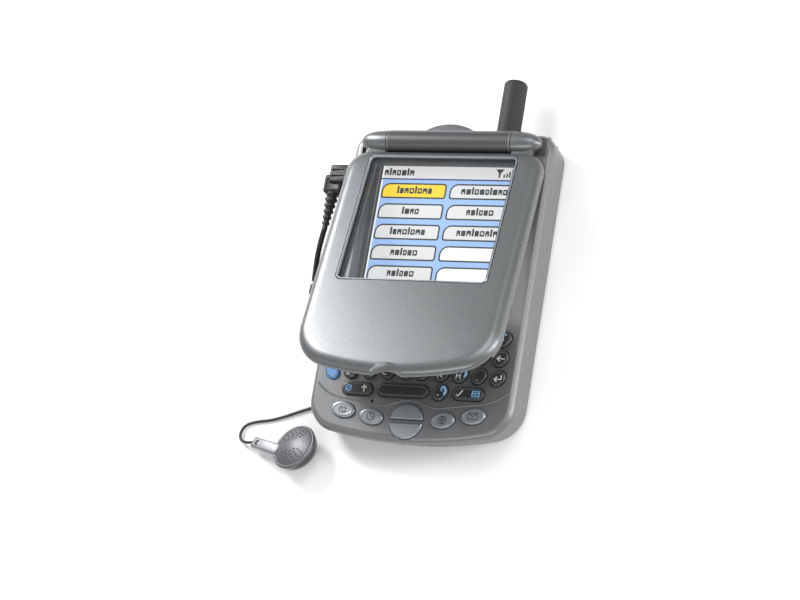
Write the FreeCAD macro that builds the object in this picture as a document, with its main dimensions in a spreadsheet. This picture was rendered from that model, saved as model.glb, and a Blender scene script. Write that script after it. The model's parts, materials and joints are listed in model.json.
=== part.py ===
import FreeCAD, Part
import math
import os
import Sketcher

# Flip-lid pocket organiser with a thumb keyboard, lying on its back, lid slightly open.
# Millimetres. X to the right, Y towards the antenna, Z out of the front.
# The origin is the middle of the flat back face.

vector = FreeCAD.Vector
doc = FreeCAD.newDocument("organiser")
sheet = doc.addObject("Spreadsheet::Sheet", "sizes")

# alias, value
dimensions = [
    ("caseWidth", 71.2), ("caseLength", 109.2), ("caseDepth", 14.3), ("backDepth", 6.6),
    ("wall", 1.6), ("caseCrown", 129.0), ("bottomCorner", 11.0), ("topCorner", 6.0),
    ("backEdge", 2.6), ("frontEdge", 2.2), ("taperEnd", 3.8),
    ("lidWidth", 69.4), ("lidTop", 45.4), ("lidBottom", -41.0), ("lidCrown", 100.0),
    ("lidCorner", 14.0), ("lidInner", 14.8), ("lidOuter", 20.0), ("lidEdge", 1.8),
    ("lidRecess", 16.4), ("lidRim", 2.0), ("lidOpen", 12.1),
    ("hingeY", 49.9), ("hingeZ", 16.9), ("barrelRadius", 3.9), ("barrelHalf", 21.9),
    ("knuckleStart", 22.2), ("knuckleEnd", 32.2), ("knuckleGap", 0.35),
    ("pinRadius", 1.2), ("pinBore", 1.25), ("pinStart", 15.0), ("pinLength", 14.0),
    ("windowWidth", 53.0), ("windowLength", 50.0), ("windowMid", 17.7), ("windowStep", 1.3),
    ("windowSeat", 17.4), ("windowThick", 1.2), ("fitGap", 0.2),
    ("glassWidth", 49.2), ("glassMid", 18.6), ("glassTop", 12.6), ("moduleThick", 3.0),
    ("moduleBorder", 1.0),
    ("keyPitch", 6.42), ("rowPitch", 6.6), ("topRow", -17.1), ("rowDroop", 0.9),
    ("keyLong", 5.9), ("keyShort", 4.7), ("keyTilt", 55.0), ("keyProud", 0.9),
    ("keyFlange", 0.4), ("keyGap", 0.2), ("flangeThick", 0.8), ("flangeDrop", 0.1),
    ("stemRadius", 0.9), ("stemBottom", 9.9), ("capEdge", 0.45),
    ("pillShort", 4.4), ("bottomRow", -36.9),
    ("appLong", 8.3), ("appShort", 5.4), ("appTilt", 9.0),
    ("padRadius", 5.8), ("padMid", -47.2), ("padSplit", 1.3),
    ("boardBottom", 7.8), ("boardThick", 1.0), ("domeHeight", 0.3),
    ("batteryWidth", 52.0), ("batteryLength", 62.0), ("batteryThick", 5.2),
    ("antennaX", 17.0), ("antennaZ", 9.7), ("antennaRadius", 4.0), ("antennaTop", 75.2),
    ("antennaNeck", 2.4), ("irMid", -2.5), ("irHalf", 10.2), ("irProud", 3.4),
    ("irLow", 8.6), ("irHigh", 13.8),
    ("stylusX", 31.2), ("stylusZ", 4.2), ("stylusRadius", 1.9), ("stylusBore", 2.1),
    ("stylusLength", 96.0),
    ("rockerMid", 14.0), ("rockerLong", 15.0), ("rockerZ", 10.4), ("rockerHigh", 3.6),
    ("powerX", -24.0), ("powerZ", 10.2), ("powerRadius", 2.4),
    ("jackY", 40.0), ("jackZ", 10.0), ("plugPin", 1.25), ("jackBore", 1.3), ("pinReach", 9.4),
    ("screwRadius", 0.8), ("screwHead", 1.5), ("screwLength", 9.6),
    ("cordRadius", 0.5), ("sleeveRadius", 0.95),
    ("hankMid", -40.75), ("hankHalf", 4.65), ("hankLow", -10.5), ("hankHigh", 8.5),
    ("budRadius", 8.2),
]
for row, (alias, value) in enumerate(dimensions, start=1):
    sheet.set("A%d" % row, alias)
    sheet.set("B%d" % row, str(value))
    sheet.setAlias("B%d" % row, alias)
doc.recompute()


def size(alias):
    return float(getattr(sheet, alias))


def bind(item, **expressions):
    # property=expression, with cells written as sizes.alias; "_" stands for "." in the property
    for path, expression in expressions.items():
        item.setExpression(path.replace("_", "."), expression)
    return item


def place(item, x="0", y="0", z="0"):
    return bind(item, Placement_Base_x=x, Placement_Base_y=y, Placement_Base_z=z)


def box(name, low, lengths):
    block = doc.addObject("Part::Box", name)
    bind(block, Length=lengths[0], Width=lengths[1], Height=lengths[2])
    return place(block, *low)


def cylinder(name, radius, height, start, axis="z"):
    rod = doc.addObject("Part::Cylinder", name)
    bind(rod, Radius=radius, Height=height)
    turns = {"x": (vector(0, 1, 0), 90), "y": (vector(1, 0, 0), -90), "z": (vector(0, 0, 1), 0)}
    rod.Placement.Rotation = FreeCAD.Rotation(*turns[axis])
    return place(rod, *start)


def ellipse(name, longRadius, shortRadius, height, start, tilt=0):
    outline = doc.addObject("Part::Ellipse", name + "Outline")
    bind(outline, MajorRadius=longRadius, MinorRadius=shortRadius)
    outline.Placement.Rotation = FreeCAD.Rotation(vector(0, 0, 1), tilt)
    place(outline, *start)
    prism = doc.addObject("Part::Extrusion", name)
    prism.Base = outline
    prism.DirMode = "Custom"
    prism.Dir = vector(0, 0, 1)
    prism.Solid = True
    return bind(prism, LengthFwd=height)


def fuse(name, *shapes):
    union = doc.addObject("Part::MultiFuse", name)
    union.Shapes = list(shapes)
    return union


def cut(name, base, *tools):
    difference = doc.addObject("Part::Cut", name)
    difference.Base = base
    difference.Tool = tools[0] if len(tools) == 1 else fuse(name + "Tools", *tools)
    return difference


def common(name, base, tool):
    overlap = doc.addObject("Part::Common", name)
    overlap.Base = base
    overlap.Tool = tool
    return overlap


def gather(name, *shapes):
    group = doc.addObject("Part::Compound", name)
    group.Links = list(shapes)
    return group


def edgesWhere(shape, test):
    return [index + 1 for index, edge in enumerate(shape.Edges) if test(edge)]


def fillet(name, base, radius, test):
    doc.recompute()
    rounded = doc.addObject("Part::Fillet", name)
    rounded.Base = base
    rounded.Edges = [(number, radius, radius) for number in edgesWhere(base.Shape, test)]
    return rounded


def lyingAt(height):
    return lambda edge: all(abs(point.z - height) < 0.01 for point in edge.discretize(5))


def isUpright(edge):
    ends = [vertex.Point for vertex in edge.Vertexes]
    return len(ends) == 2 and abs(ends[0].z - ends[1].z) > 0.5


def plane(body, role):
    return [item for item in body.Origin.OriginFeatures if item.Role == role][0]


def crownedSketch(body, name, half, top, bottom, crownRadius, lowCorner, highCorner, level):
    # straight sides and top, a bowed lower end and four round corners; all sizes are expressions
    sketch = body.newObject("Sketcher::SketchObject", name)
    sketch.AttachmentSupport = (plane(body, "XY_Plane"), "")
    sketch.MapMode = "FlatFace"
    bind(sketch, AttachmentOffset_Base_z=level)
    wide, high, low, bow, round1, round2 = [
        worth(text) for text in (half, top, bottom, crownRadius, lowCorner, highCorner)]
    crownY = low + bow
    cornerY = crownY - math.sqrt((bow - round1) ** 2 - (wide - round1) ** 2)
    touchX = (wide - round1) * bow / (bow - round1)
    touchY = crownY - (crownY - cornerY) * bow / (bow - round1)
    mirror = lambda point: vector(-point.x, point.y, 0)
    diagonal = math.sqrt(0.5)
    lowSide, lowEnd = vector(wide, cornerY, 0), vector(touchX, touchY, 0)
    toMid = vector(wide, cornerY, 0) + lowEnd - vector(wide - round1, cornerY, 0) * 2
    lowMid = vector(wide - round1, cornerY, 0) + toMid.normalize() * round1
    topSide, topEnd = vector(wide, high - round2, 0), vector(wide - round2, high, 0)
    topMid = vector(wide - round2 + round2 * diagonal, high - round2 + round2 * diagonal, 0)
    pieces = [
        Part.LineSegment(lowSide, topSide), Part.Arc(topSide, topMid, topEnd),
        Part.LineSegment(topEnd, mirror(topEnd)), Part.Arc(mirror(topEnd), mirror(topMid), mirror(topSide)),
        Part.LineSegment(mirror(topSide), mirror(lowSide)),
        Part.Arc(mirror(lowSide), mirror(lowMid), mirror(lowEnd)),
        Part.Arc(mirror(lowEnd), vector(0, low, 0), lowEnd), Part.Arc(lowEnd, lowMid, lowSide),
    ]
    for piece in pieces:
        sketch.addGeometry(piece)
    for number in range(len(pieces)):
        following = (number + 1) % len(pieces)
        sketch.addConstraint(Sketcher.Constraint("Tangent", number, 2, following, 1))
    for rule in (("Vertical", 0), ("Horizontal", 2), ("Vertical", 4), ("PointOnObject", 6, 3, -2)):
        sketch.addConstraint(Sketcher.Constraint(*rule))
    sized = [
        (("DistanceX", -1, 1, 0, 1, wide), half), (("DistanceX", 4, 1, -1, 1, wide), half),
        (("DistanceY", -1, 1, 2, 1, high), top), (("Radius", 1, round2), highCorner),
        (("Radius", 3, round2), highCorner), (("Radius", 5, round1), lowCorner),
        (("Radius", 7, round1), lowCorner), (("Radius", 6, bow), crownRadius),
        (("DistanceY", -1, 1, 6, 3, crownY), "%s + %s" % (bottom, crownRadius)),
    ]
    for rule, expression in sized:
        number = sketch.addConstraint(Sketcher.Constraint(*rule))
        sketch.setExpression("Constraints[%d]" % number, expression)
    return sketch


def worth(expression):
    # the present value of an expression on the sheet
    return float(sheet.evalExpression(expression.replace("sizes.", "")))


def crownedBlock(name, half, top, bottom, crownRadius, level, height, lowCorner, highCorner):
    body = doc.addObject("PartDesign::Body", name)
    pad = body.newObject("PartDesign::Pad", name + "Pad")
    pad.Profile = crownedSketch(body, name + "Outline", half, top, bottom, crownRadius, lowCorner,
                                highCorner, level)
    return bind(pad, Length=height).getParentGeoFeatureGroup()


def caseSlab(name, inset, level, height):
    # a slice of the case: a box whose lower end is a large cylinder leaning back, with round corners
    half, top = "(sizes.caseWidth / 2 - (%s))" % inset, "(sizes.caseLength / 2 - (%s))" % inset
    block = box(name + "Box", ("-" + half, "-sizes.caseLength", level),
                ("2 * " + half, "sizes.caseLength + " + top, height))
    ends = fillet(name + "Top", block, size("topCorner") - worth(inset),
                  lambda edge: isUpright(edge) and edge.Vertexes[0].Y > 0)
    lean = math.atan2(size("taperEnd"), size("caseDepth"))
    radius = size("caseCrown") - worth(inset)
    reach = radius / math.cos(lean) - size("caseLength") / 2 + worth(inset)
    crown = doc.addObject("Part::Cylinder", name + "Crown")
    bind(crown, Radius="sizes.caseCrown - (%s)" % inset, Height="8 * sizes.caseDepth")
    turn = FreeCAD.Rotation(vector(1, 0, 0), math.degrees(lean))
    along = turn.multVec(vector(0, 0, 1))
    crown.Placement = FreeCAD.Placement(vector(0, reach,
                                               size("caseDepth")) - along * size("caseDepth") * 4, turn)
    slab = common(name + "Slab", ends, crown)
    return fillet(name, slab, size("bottomCorner") - worth(inset),
                  lambda edge: isUpright(edge) and edge.Vertexes[0].Y < 0 and abs(edge.Vertexes[0].X) > 20)


def finish(item, label):
    item.Label = label
    return item


# ---- positions of what repeats

def keyRows():
    # node name, row, column of every small oval key
    names = [
        ["q", "w", "e", "r", "t", "y", "u", "i", "o", "p"],
        ["a", "s", "d", "f", "g", "h", "j", "k", "l", "backspace"],
        ["option", "z", "x", "c", "v", "b", "n", "m", "period", "enter"],
    ]
    return [("key_" + name, row, column) for row, line in enumerate(names) for column,
            name in enumerate(line)]


def keyPlace(row, column):
    # x and y as expressions; each row droops towards its ends
    x = "(%g) * sizes.keyPitch" % (column - 4.5)
    y = "sizes.topRow - %d * sizes.rowPitch - sizes.rowDroop * %.4f" % (row, ((column - 4.5) / 4.5) ** 2)
    return x, y


# node, middle x, length
pillKeys = [("key_symbol", -18.9, 10.8), ("key_space", -3.0, 18.0), ("key_menu", 19.7, 10.8)]
zeroKey = ("key_zero", 10.0)
# node, x, y
appButtons = [
    ("button_phone", -22.6, -44.3), ("button_calendar", -12.4, -46.2),
    ("button_messages", 12.4, -46.2), ("button_contacts", 22.6, -44.3),
]


def tiltOf(column):
    return -size("keyTilt") if column < 5 else size("keyTilt")


def ovalKey(label, x, y, longRadius, shortRadius, tilt):
    # cap, wider flange under the deck and a stem down to its dome
    deckUnder = "(sizes.caseDepth - sizes.wall)"
    flangeTop = "(%s - sizes.flangeDrop)" % deckUnder
    cap = ellipse(label + "Cap", longRadius, shortRadius, "sizes.caseDepth + sizes.keyProud - %s" % flangeTop,
                  (x, y, flangeTop), tilt)
    cap = fillet(label + "Round", cap, size("capEdge"), lyingAt(size("caseDepth") + size("keyProud")))
    flange = ellipse(label + "Flange", longRadius + " + sizes.keyFlange", shortRadius + " + sizes.keyFlange",
                     "sizes.flangeThick", (x, y, flangeTop + " - sizes.flangeThick"), tilt)
    stem = cylinder(label + "Stem", "sizes.stemRadius",
                    "%s - sizes.flangeThick - sizes.stemBottom" % flangeTop, (x, y, "sizes.stemBottom"))
    return finish(fuse(label, cap, flange, stem), label)


def stadium(name, length, width, low, height, x, y):
    # a pill: a box between two cylinders, all given as expressions
    half = "(%s) / 2" % width
    straight = "((%s) - (%s))" % (length, width)
    middle = box(name + "Mid", (x + " - " + straight + " / 2", y + " - " + half, low), (straight, width,
                                                                                        height))
    left = cylinder(name + "Left", half, height, (x + " - " + straight + " / 2", y, low))
    right = cylinder(name + "Right", half, height, (x + " + " + straight + " / 2", y, low))
    pill = fuse(name, middle, left, right)
    pill.Refine = True
    return pill


def pillKey(label, x, length):
    deckUnder = "(sizes.caseDepth - sizes.wall)"
    flangeTop = "(%s - sizes.flangeDrop)" % deckUnder
    x, y = "(%g)" % x, "sizes.bottomRow"
    cap = stadium(label + "Cap", "%g" % length, "sizes.pillShort", flangeTop,
                  "sizes.caseDepth + sizes.keyProud - %s" % flangeTop, x, y)
    cap = fillet(label + "Round", cap, size("capEdge"), lyingAt(size("caseDepth") + size("keyProud")))
    flange = stadium(label + "Flange", "%g + 2 * sizes.keyFlange" % length,
                     "sizes.pillShort + 2 * sizes.keyFlange",
                     flangeTop + " - sizes.flangeThick", "sizes.flangeThick", x, y)
    stem = cylinder(label + "Stem", "sizes.stemRadius",
                    "%s - sizes.flangeThick - sizes.stemBottom" % flangeTop, (x, y, "sizes.stemBottom"))
    return finish(fuse(label, cap, flange, stem), label)


def halfMoon(label, side):
    # one half of the round up/down pad; side is 1 for the upper half
    deckUnder = "(sizes.caseDepth - sizes.wall)"
    flangeTop = "(%s - sizes.flangeDrop)" % deckUnder
    rise = "sizes.caseDepth + sizes.keyProud - %s" % flangeTop
    disc = cylinder(label + "Disc", "sizes.padRadius", rise, ("0", "sizes.padMid", flangeTop))
    edge = "sizes.padMid + sizes.padSplit / 2" if side > 0 else "sizes.padMid - sizes.padSplit / 2 - sizes.padRadius"
    strip = box(label + "Strip", ("-sizes.padRadius", edge, flangeTop), ("2 * sizes.padRadius",
                                                                         "sizes.padRadius", rise))
    cap = common(label + "Cap", disc, strip)
    cap = fillet(label + "Round", cap, size("capEdge"), lyingAt(size("caseDepth") + size("keyProud")))
    flangeY = "sizes.padMid + sizes.padSplit / 2 + 1" if side > 0 else "sizes.padMid - sizes.padSplit / 2 - 4"
    flange = box(label + "Flange", ("-sizes.padRadius + 1", flangeY, flangeTop + " - sizes.flangeThick"),
                 ("2 * sizes.padRadius - 2", "3", "sizes.flangeThick"))
    stem = cylinder(label + "Stem", "sizes.stemRadius",
                    "%s - sizes.flangeThick - sizes.stemBottom" % flangeTop,
                    ("0", flangeY + " + 1.5", "sizes.stemBottom"))
    return finish(fuse(label, cap, flange, stem), label)


def keys():
    made = []
    for label, row, column in keyRows():
        x, y = keyPlace(row, column)
        made.append(ovalKey(label, x, y, "sizes.keyLong / 2", "sizes.keyShort / 2", tiltOf(column)))
    made.append(ovalKey(zeroKey[0], "%g" % zeroKey[1], "sizes.bottomRow", "sizes.keyLong / 2",
                        "sizes.keyShort / 2", size("keyTilt")))
    for label, x, length in pillKeys:
        made.append(pillKey(label, x, length))
    for label, x, y in appButtons:
        made.append(ovalKey(label, "%g" % x, "%g" % y, "sizes.appLong / 2", "sizes.appShort / 2",
                            math.copysign(size("appTilt"), x)))
    made.append(halfMoon("button_up", 1))
    made.append(halfMoon("button_down", -1))
    return made


def keyHoles():
    # every opening in the deck, one gap larger than its key
    low, deep = "sizes.caseDepth - 2 * sizes.wall", "4 * sizes.wall"
    tools = []
    for label, row, column in keyRows():
        x, y = keyPlace(row, column)
        tools.append(ellipse(label + "Hole", "sizes.keyLong / 2 + sizes.keyGap",
                             "sizes.keyShort / 2 + sizes.keyGap", deep, (x, y, low), tiltOf(column)))
    tools.append(ellipse("zeroHole", "sizes.keyLong / 2 + sizes.keyGap", "sizes.keyShort / 2 + sizes.keyGap",
                         deep, ("%g" % zeroKey[1], "sizes.bottomRow", low), size("keyTilt")))
    for label, x, length in pillKeys:
        tools.append(stadium(label + "Hole", "%g + 2 * sizes.keyGap" % length,
                             "sizes.pillShort + 2 * sizes.keyGap", low, deep, "(%g)" % x, "sizes.bottomRow"))
    for label, x, y in appButtons:
        tools.append(ellipse(label + "Hole", "sizes.appLong / 2 + sizes.keyGap",
                             "sizes.appShort / 2 + sizes.keyGap", deep, ("%g" % x, "%g" % y, low),
                             math.copysign(size("appTilt"), x)))
    disc = cylinder("padHole", "sizes.padRadius + sizes.keyGap", deep, ("0", "sizes.padMid", low))
    bar = box("padBar", ("-2 * sizes.padRadius", "sizes.padMid - sizes.padSplit / 2 + sizes.keyGap", low),
              ("4 * sizes.padRadius", "sizes.padSplit - 2 * sizes.keyGap", deep))
    tools.append(cut("padHoles", disc, bar))
    return tools


# ---- the case

def backShell():
    outer = caseSlab("backOuter", "0", "0", "sizes.backDepth")
    rounded = fillet("backRound", outer, size("backEdge"), lyingAt(0))
    hollow = caseSlab("backHollow", "sizes.wall", "sizes.wall", "sizes.backDepth")
    posts = screwPosts("backPost", "sizes.wall / 2", "sizes.backDepth - sizes.wall / 2",
                       "sizes.screwHead + 0.8")
    shell = cut("backTray", rounded, hollow)
    solid = fuse("backBody", shell, *posts)
    bores = screwPosts("backBore", "-1", "sizes.backDepth + 2", "sizes.screwRadius + 0.15")
    heads = screwPosts("backSink", "-1", "3", "sizes.screwHead + 0.15")
    silo = cylinder("silo", "sizes.stylusBore", "20",
                    ("sizes.stylusX", "sizes.caseLength / 2 - 10", "sizes.stylusZ"), "y")
    dock = box("dockSlot", ("-11.6", "-sizes.caseLength / 2 - 2", "2.9"), ("23.2", "8.6", "3.2"))
    return finish(cut("back_shell", solid, *(bores + heads + [silo, dock])), "back_shell")


def screwPosts(name, low, height, radius):
    spots = [(-29.2, -44.3), (29.2, -44.3), (-30.5, 47.0), (24.5, 49.2)]
    return [cylinder("%s%d" % (name, number), radius, height, ("%g" % x, "%g" % y, low))
            for number, (x, y) in enumerate(spots, start=1)]


def frontShell():
    outer = caseSlab("frontOuter", "0", "sizes.backDepth", "sizes.caseDepth - sizes.backDepth")
    rounded = fillet("frontRound", outer, size("frontEdge"), lyingAt(size("caseDepth")))
    hollow = caseSlab("frontHollow", "sizes.wall", "sizes.backDepth - 1",
                      "sizes.caseDepth - sizes.wall - sizes.backDepth + 1")
    shell = cut("frontTray", rounded, hollow)
    barrel = cylinder("barrel", "sizes.barrelRadius", "2 * sizes.barrelHalf",
                      ("-sizes.barrelHalf", "sizes.hingeY", "sizes.hingeZ"), "x")
    cradle = box("cradle", ("-sizes.barrelHalf", "sizes.hingeY - 3.2", "sizes.caseDepth - 2 * sizes.wall"),
                 ("2 * sizes.barrelHalf", "sizes.caseLength / 2 + 3.2 - sizes.hingeY",
                  "2 * sizes.wall + 1.6"))
    ledge = box("ledge", ("-sizes.barrelHalf - 0.2", "sizes.caseLength / 2 - 0.9", "sizes.caseDepth - 3"),
                ("2 * sizes.barrelHalf + 1", "0.8", "5.2"))
    bosses = screwPosts("frontBoss", "sizes.backDepth", "sizes.caseDepth - sizes.wall / 2 - sizes.backDepth",
                        "sizes.screwRadius + 0.9")
    pads = [box("knucklePad" + side, (start, "sizes.hingeY - 5", "sizes.caseDepth - 2 * sizes.wall"),
                ("sizes.knuckleEnd - sizes.barrelHalf + 1", "9", "sizes.wall + 0.5"))
            for side, start in (("L", "-sizes.knuckleEnd - 1"), ("R", "sizes.barrelHalf"))]
    solid = fuse("frontBody", shell, barrel, cradle, ledge, *(pads + bosses))
    tools = keyHoles()
    tools.append(box("screenHole", ("-sizes.glassWidth / 2 - 0.5",
                                    "sizes.glassMid - sizes.glassWidth / 2 - 0.5",
                                    "sizes.backDepth"),
                     ("sizes.glassWidth + 1", "sizes.glassWidth + 1", "20")))
    for side, start in (("L", "-sizes.knuckleEnd - 0.5"), ("R", "sizes.barrelHalf + 0.05")):
        tools.append(cylinder("knuckleRoom" + side, "sizes.barrelRadius + sizes.knuckleGap",
                              "sizes.knuckleEnd - sizes.barrelHalf + 0.45",
                              (start, "sizes.hingeY", "sizes.hingeZ"), "x"))
    tools.append(cylinder("pinBoreHole", "sizes.pinBore", "sizes.caseWidth",
                          ("-sizes.caseWidth / 2", "sizes.hingeY", "sizes.hingeZ"), "x"))
    tools.append(cylinder("antennaHole", "sizes.antennaNeck + 0.05", "10",
                          ("sizes.antennaX", "sizes.caseLength / 2 - 5", "sizes.antennaZ"), "y"))
    tools.append(box("irHole", ("sizes.irMid - sizes.irHalf + 1", "sizes.caseLength / 2 - 3",
                                "sizes.irLow + 0.5"),
                     ("2 * sizes.irHalf - 2", "6", "sizes.irHigh - sizes.irLow - 1.8")))
    tools.append(cylinder("powerHole", "sizes.powerRadius + sizes.keyGap", "10",
                          ("sizes.powerX", "sizes.caseLength / 2 - 5", "sizes.powerZ"), "y"))
    tools.append(cylinder("jackHole", "3.0", "6", ("-sizes.caseWidth / 2 - 3", "sizes.jackY",
                                                   "sizes.jackZ"), "x"))
    tools.append(box("rockerHole", ("-sizes.caseWidth / 2 - 2",
                                    "sizes.rockerMid - sizes.rockerLong / 2 - 0.4",
                                    "sizes.rockerZ - sizes.rockerHigh / 2 - sizes.keyGap"),
                     ("5", "sizes.rockerLong + 0.8", "sizes.rockerHigh + 2 * sizes.keyGap")))
    tools += screwPosts("frontPilot", "sizes.backDepth - 1", "sizes.screwLength - sizes.backDepth + 1.8",
                        "sizes.screwRadius + 0.02")
    tools.append(cylinder("micHole", "0.5", "6", ("-13.2", "-40.8", "sizes.caseDepth - 4")))
    return finish(cut("front_shell", solid, *tools), "front_shell")


def caseScrews():
    heads = screwPosts("screwHeadPart", "0.7", "1.3", "sizes.screwHead")
    shanks = screwPosts("screwShank", "1.0", "sizes.screwLength - 0.6", "sizes.screwRadius")
    screws = [fuse("screw%d" % number, head, shank)
              for number, (head, shank) in enumerate(zip(heads, shanks), start=1)]
    return finish(gather("case_screws", *screws), "case_screws")


def displayModule():
    wide = "sizes.glassWidth + 2 * sizes.moduleBorder"
    frame = box("moduleFrame", ("-(%s) / 2" % wide, "sizes.glassMid - (%s) / 2" % wide,
                                "sizes.glassTop - sizes.moduleThick"), (wide, wide,
                                                                        "sizes.moduleThick - 0.3"))
    glass = box("moduleGlass", ("-sizes.glassWidth / 2", "sizes.glassMid - sizes.glassWidth / 2",
                                "sizes.glassTop - 1"), ("sizes.glassWidth", "sizes.glassWidth", "1"))
    return finish(fuse("display_module", frame, glass), "display_module")


def mainBoard():
    board = box("boardPlate", ("-25", "-48", "sizes.boardBottom"), ("50", "93", "sizes.boardThick"))
    top = "sizes.boardBottom + sizes.boardThick"
    domes = box("domeSheet", ("-32", "-40", top + " - 0.2"), ("64", "25.5", "sizes.domeHeight + 0.2"))
    lowDomes = box("lowDomeSheet", ("-25", "-48", top), ("50", "9", "sizes.domeHeight"))
    jack = box("jackBlock", ("-33.2", "sizes.jackY - 3.8", "sizes.boardBottom"),
               ("7.3", "7.6", "sizes.jackZ + 2.4 - sizes.boardBottom"))
    jackLink = box("jackLink", ("-27", "sizes.jackY - 3.8", "sizes.boardBottom"), ("4", "7.6",
                                                                                   "sizes.boardThick"))
    jackBore = cylinder("jackBore", "sizes.jackBore", "13", ("-37", "sizes.jackY", "sizes.jackZ"), "x")
    dock = box("dockBlock", ("-11.3", "-50.6", "3.1"), ("22.6", "5", "2.8"))
    link = box("dockLink", ("-9", "-47.5", "5"), ("18", "2.5", "sizes.boardBottom - 4.5"))
    whole = fuse("boardWhole", board, domes, lowDomes, jack, jackLink, dock, link)
    return finish(cut("main_board", whole, jackBore), "main_board")


def battery():
    block = box("batteryBlock", ("-sizes.batteryWidth / 2 - 1", "-24", "2"),
                ("sizes.batteryWidth", "sizes.batteryLength", "sizes.batteryThick"))
    return finish(fillet("battery", block, 1.5, lambda edge: isUpright(edge)), "battery")


def antenna():
    rod = cylinder("antennaRod", "sizes.antennaRadius", "sizes.antennaTop - sizes.caseLength / 2 - 0.1",
                   ("sizes.antennaX", "sizes.caseLength / 2 + 0.1", "sizes.antennaZ"), "y")
    tip = fillet("antennaTip", rod, 1.4,
                 lambda edge: all(abs(point.y - size("antennaTop")) < 0.01 for point in edge.discretize(5)))
    neck = cylinder("antennaNeckRod", "sizes.antennaNeck", "6",
                    ("sizes.antennaX", "sizes.caseLength / 2 - 4", "sizes.antennaZ"), "y")
    return finish(fuse("antenna", tip, neck), "antenna")


def infraredWindow():
    half, proud = size("irHalf"), size("irProud")
    radius = (half * half + proud * proud) / (2 * proud)
    disc = cylinder("irDisc", "(sizes.irHalf^2 + sizes.irProud^2) / (2 * sizes.irProud)",
                    "sizes.irHigh - sizes.irLow",
                    ("sizes.irMid", "sizes.caseLength / 2 + sizes.irProud - %.4f" % radius, "sizes.irLow"))
    strip = box("irStrip", ("sizes.irMid - sizes.irHalf", "sizes.caseLength / 2 + 0.05", "sizes.irLow"),
                ("2 * sizes.irHalf", "5", "10"))
    dome = common("irDome", disc, strip)
    tail = box("irTail", ("sizes.irMid - sizes.irHalf + 1.2", "sizes.caseLength / 2 - 2.2",
                          "sizes.irLow + 0.7"),
               ("2 * sizes.irHalf - 2.4", "3", "sizes.irHigh - sizes.irLow - 2.2"))
    return finish(fuse("ir_window", dome, tail), "ir_window")


def hingePins():
    pins = [cylinder("pin" + side, "sizes.pinRadius", "sizes.pinLength", (start, "sizes.hingeY",
                                                                          "sizes.hingeZ"), "x")
            for side, start in (("Left", "-sizes.pinStart - sizes.pinLength"), ("Right", "sizes.pinStart"))]
    return finish(gather("hinge_pins", *pins), "hinge_pins")


# ---- the lid, drawn closed and then turned open about the hinge

def openLid(item):
    turn = FreeCAD.Rotation(vector(1, 0, 0), -size("lidOpen"))
    item.Placement = FreeCAD.Placement(vector(0, 0, 0), turn, vector(0, size("hingeY"), size("hingeZ")))
    return item


def knuckle(side, start, wide):
    # bullet-shaped end of the barrel: half an ellipsoid along the hinge axis
    nose = doc.addObject("Part::Ellipsoid", "knuckleNose" + side)
    bind(nose, Radius1=wide, Radius2="sizes.barrelRadius", Radius3="sizes.barrelRadius")
    nose.Placement.Rotation = FreeCAD.Rotation(vector(0, 1, 0), 90)
    place(nose, "-sizes.knuckleStart" if side == "Left" else "sizes.knuckleStart", "sizes.hingeY",
          "sizes.hingeZ")
    keep = box("knuckleKeep" + side, (start, "sizes.hingeY - 5", "sizes.hingeZ - 5"), (wide, "10", "10"))
    return common("knuckle" + side, nose, keep)


def lidShell():
    plate = crownedBlock("lidPlate", "sizes.lidWidth / 2", "sizes.lidTop", "sizes.lidBottom",
                         "sizes.lidCrown",
                         "sizes.lidInner", "sizes.lidOuter - sizes.lidInner", "sizes.lidCorner", "1.5")
    rounded = fillet("lidRound", plate, size("lidEdge"), lyingAt(size("lidOuter")))
    arms = []
    for side, start in (("Left", "-sizes.knuckleEnd"), ("Right", "sizes.knuckleStart")):
        wide = "sizes.knuckleEnd - sizes.knuckleStart"
        arms.append(knuckle(side, start, wide))
        arms.append(box("arm" + side, (start if side == "Right" else start + " + 3.2", "sizes.lidTop - 3",
                                       "sizes.lidInner"),
                        (wide + " - 3.2", "sizes.hingeY - sizes.lidTop + 3",
                         "sizes.lidOuter - sizes.lidInner - 0.8")))
    solid = fuse("lidSolid", rounded, *arms)
    recess = box("lidRecessTool", ("-sizes.lidWidth / 2 + sizes.lidRim", "-60", "sizes.lidInner - 1"),
                 ("sizes.lidWidth - 2 * sizes.lidRim", "60 + sizes.lidTop - 4",
                  "sizes.lidRecess - sizes.lidInner + 1"))
    opening = box("lidOpening", ("-sizes.windowWidth / 2 + sizes.windowStep",
                                 "sizes.windowMid - sizes.windowLength / 2 + sizes.windowStep", "10"),
                  ("sizes.windowWidth - 2 * sizes.windowStep",
                   "sizes.windowLength - 2 * sizes.windowStep", "20"))
    seat = box("lidSeat", ("-sizes.windowWidth / 2", "sizes.windowMid - sizes.windowLength / 2",
                           "sizes.windowSeat"),
               ("sizes.windowWidth", "sizes.windowLength", "20"))
    speaker = cylinder("speakerPocket", "6.7", "3", ("0", "-27", "sizes.lidRecess - 1"))
    notch = cylinder("thumbNotch", "8.0", "20", ("0", "sizes.lidBottom - 4.9", "10"))
    bore = cylinder("lidPinBore", "sizes.pinBore", "2 * (sizes.pinStart + sizes.pinLength + 0.3)",
                    ("-sizes.pinStart - sizes.pinLength - 0.3", "sizes.hingeY", "sizes.hingeZ"), "x")
    return finish(openLid(cut("lid_shell", solid, recess, opening, seat, speaker, notch, bore)), "lid_shell")


def lidWindow():
    gap = "sizes.fitGap"
    pane = box("windowPane", ("-sizes.windowWidth / 2 + " + gap,
                              "sizes.windowMid - sizes.windowLength / 2 + " + gap, "sizes.windowSeat"),
               ("sizes.windowWidth - 2 * " + gap, "sizes.windowLength - 2 * " + gap, "sizes.windowThick"))
    return finish(openLid(gather("lid_window", pane)), "lid_window")


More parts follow.
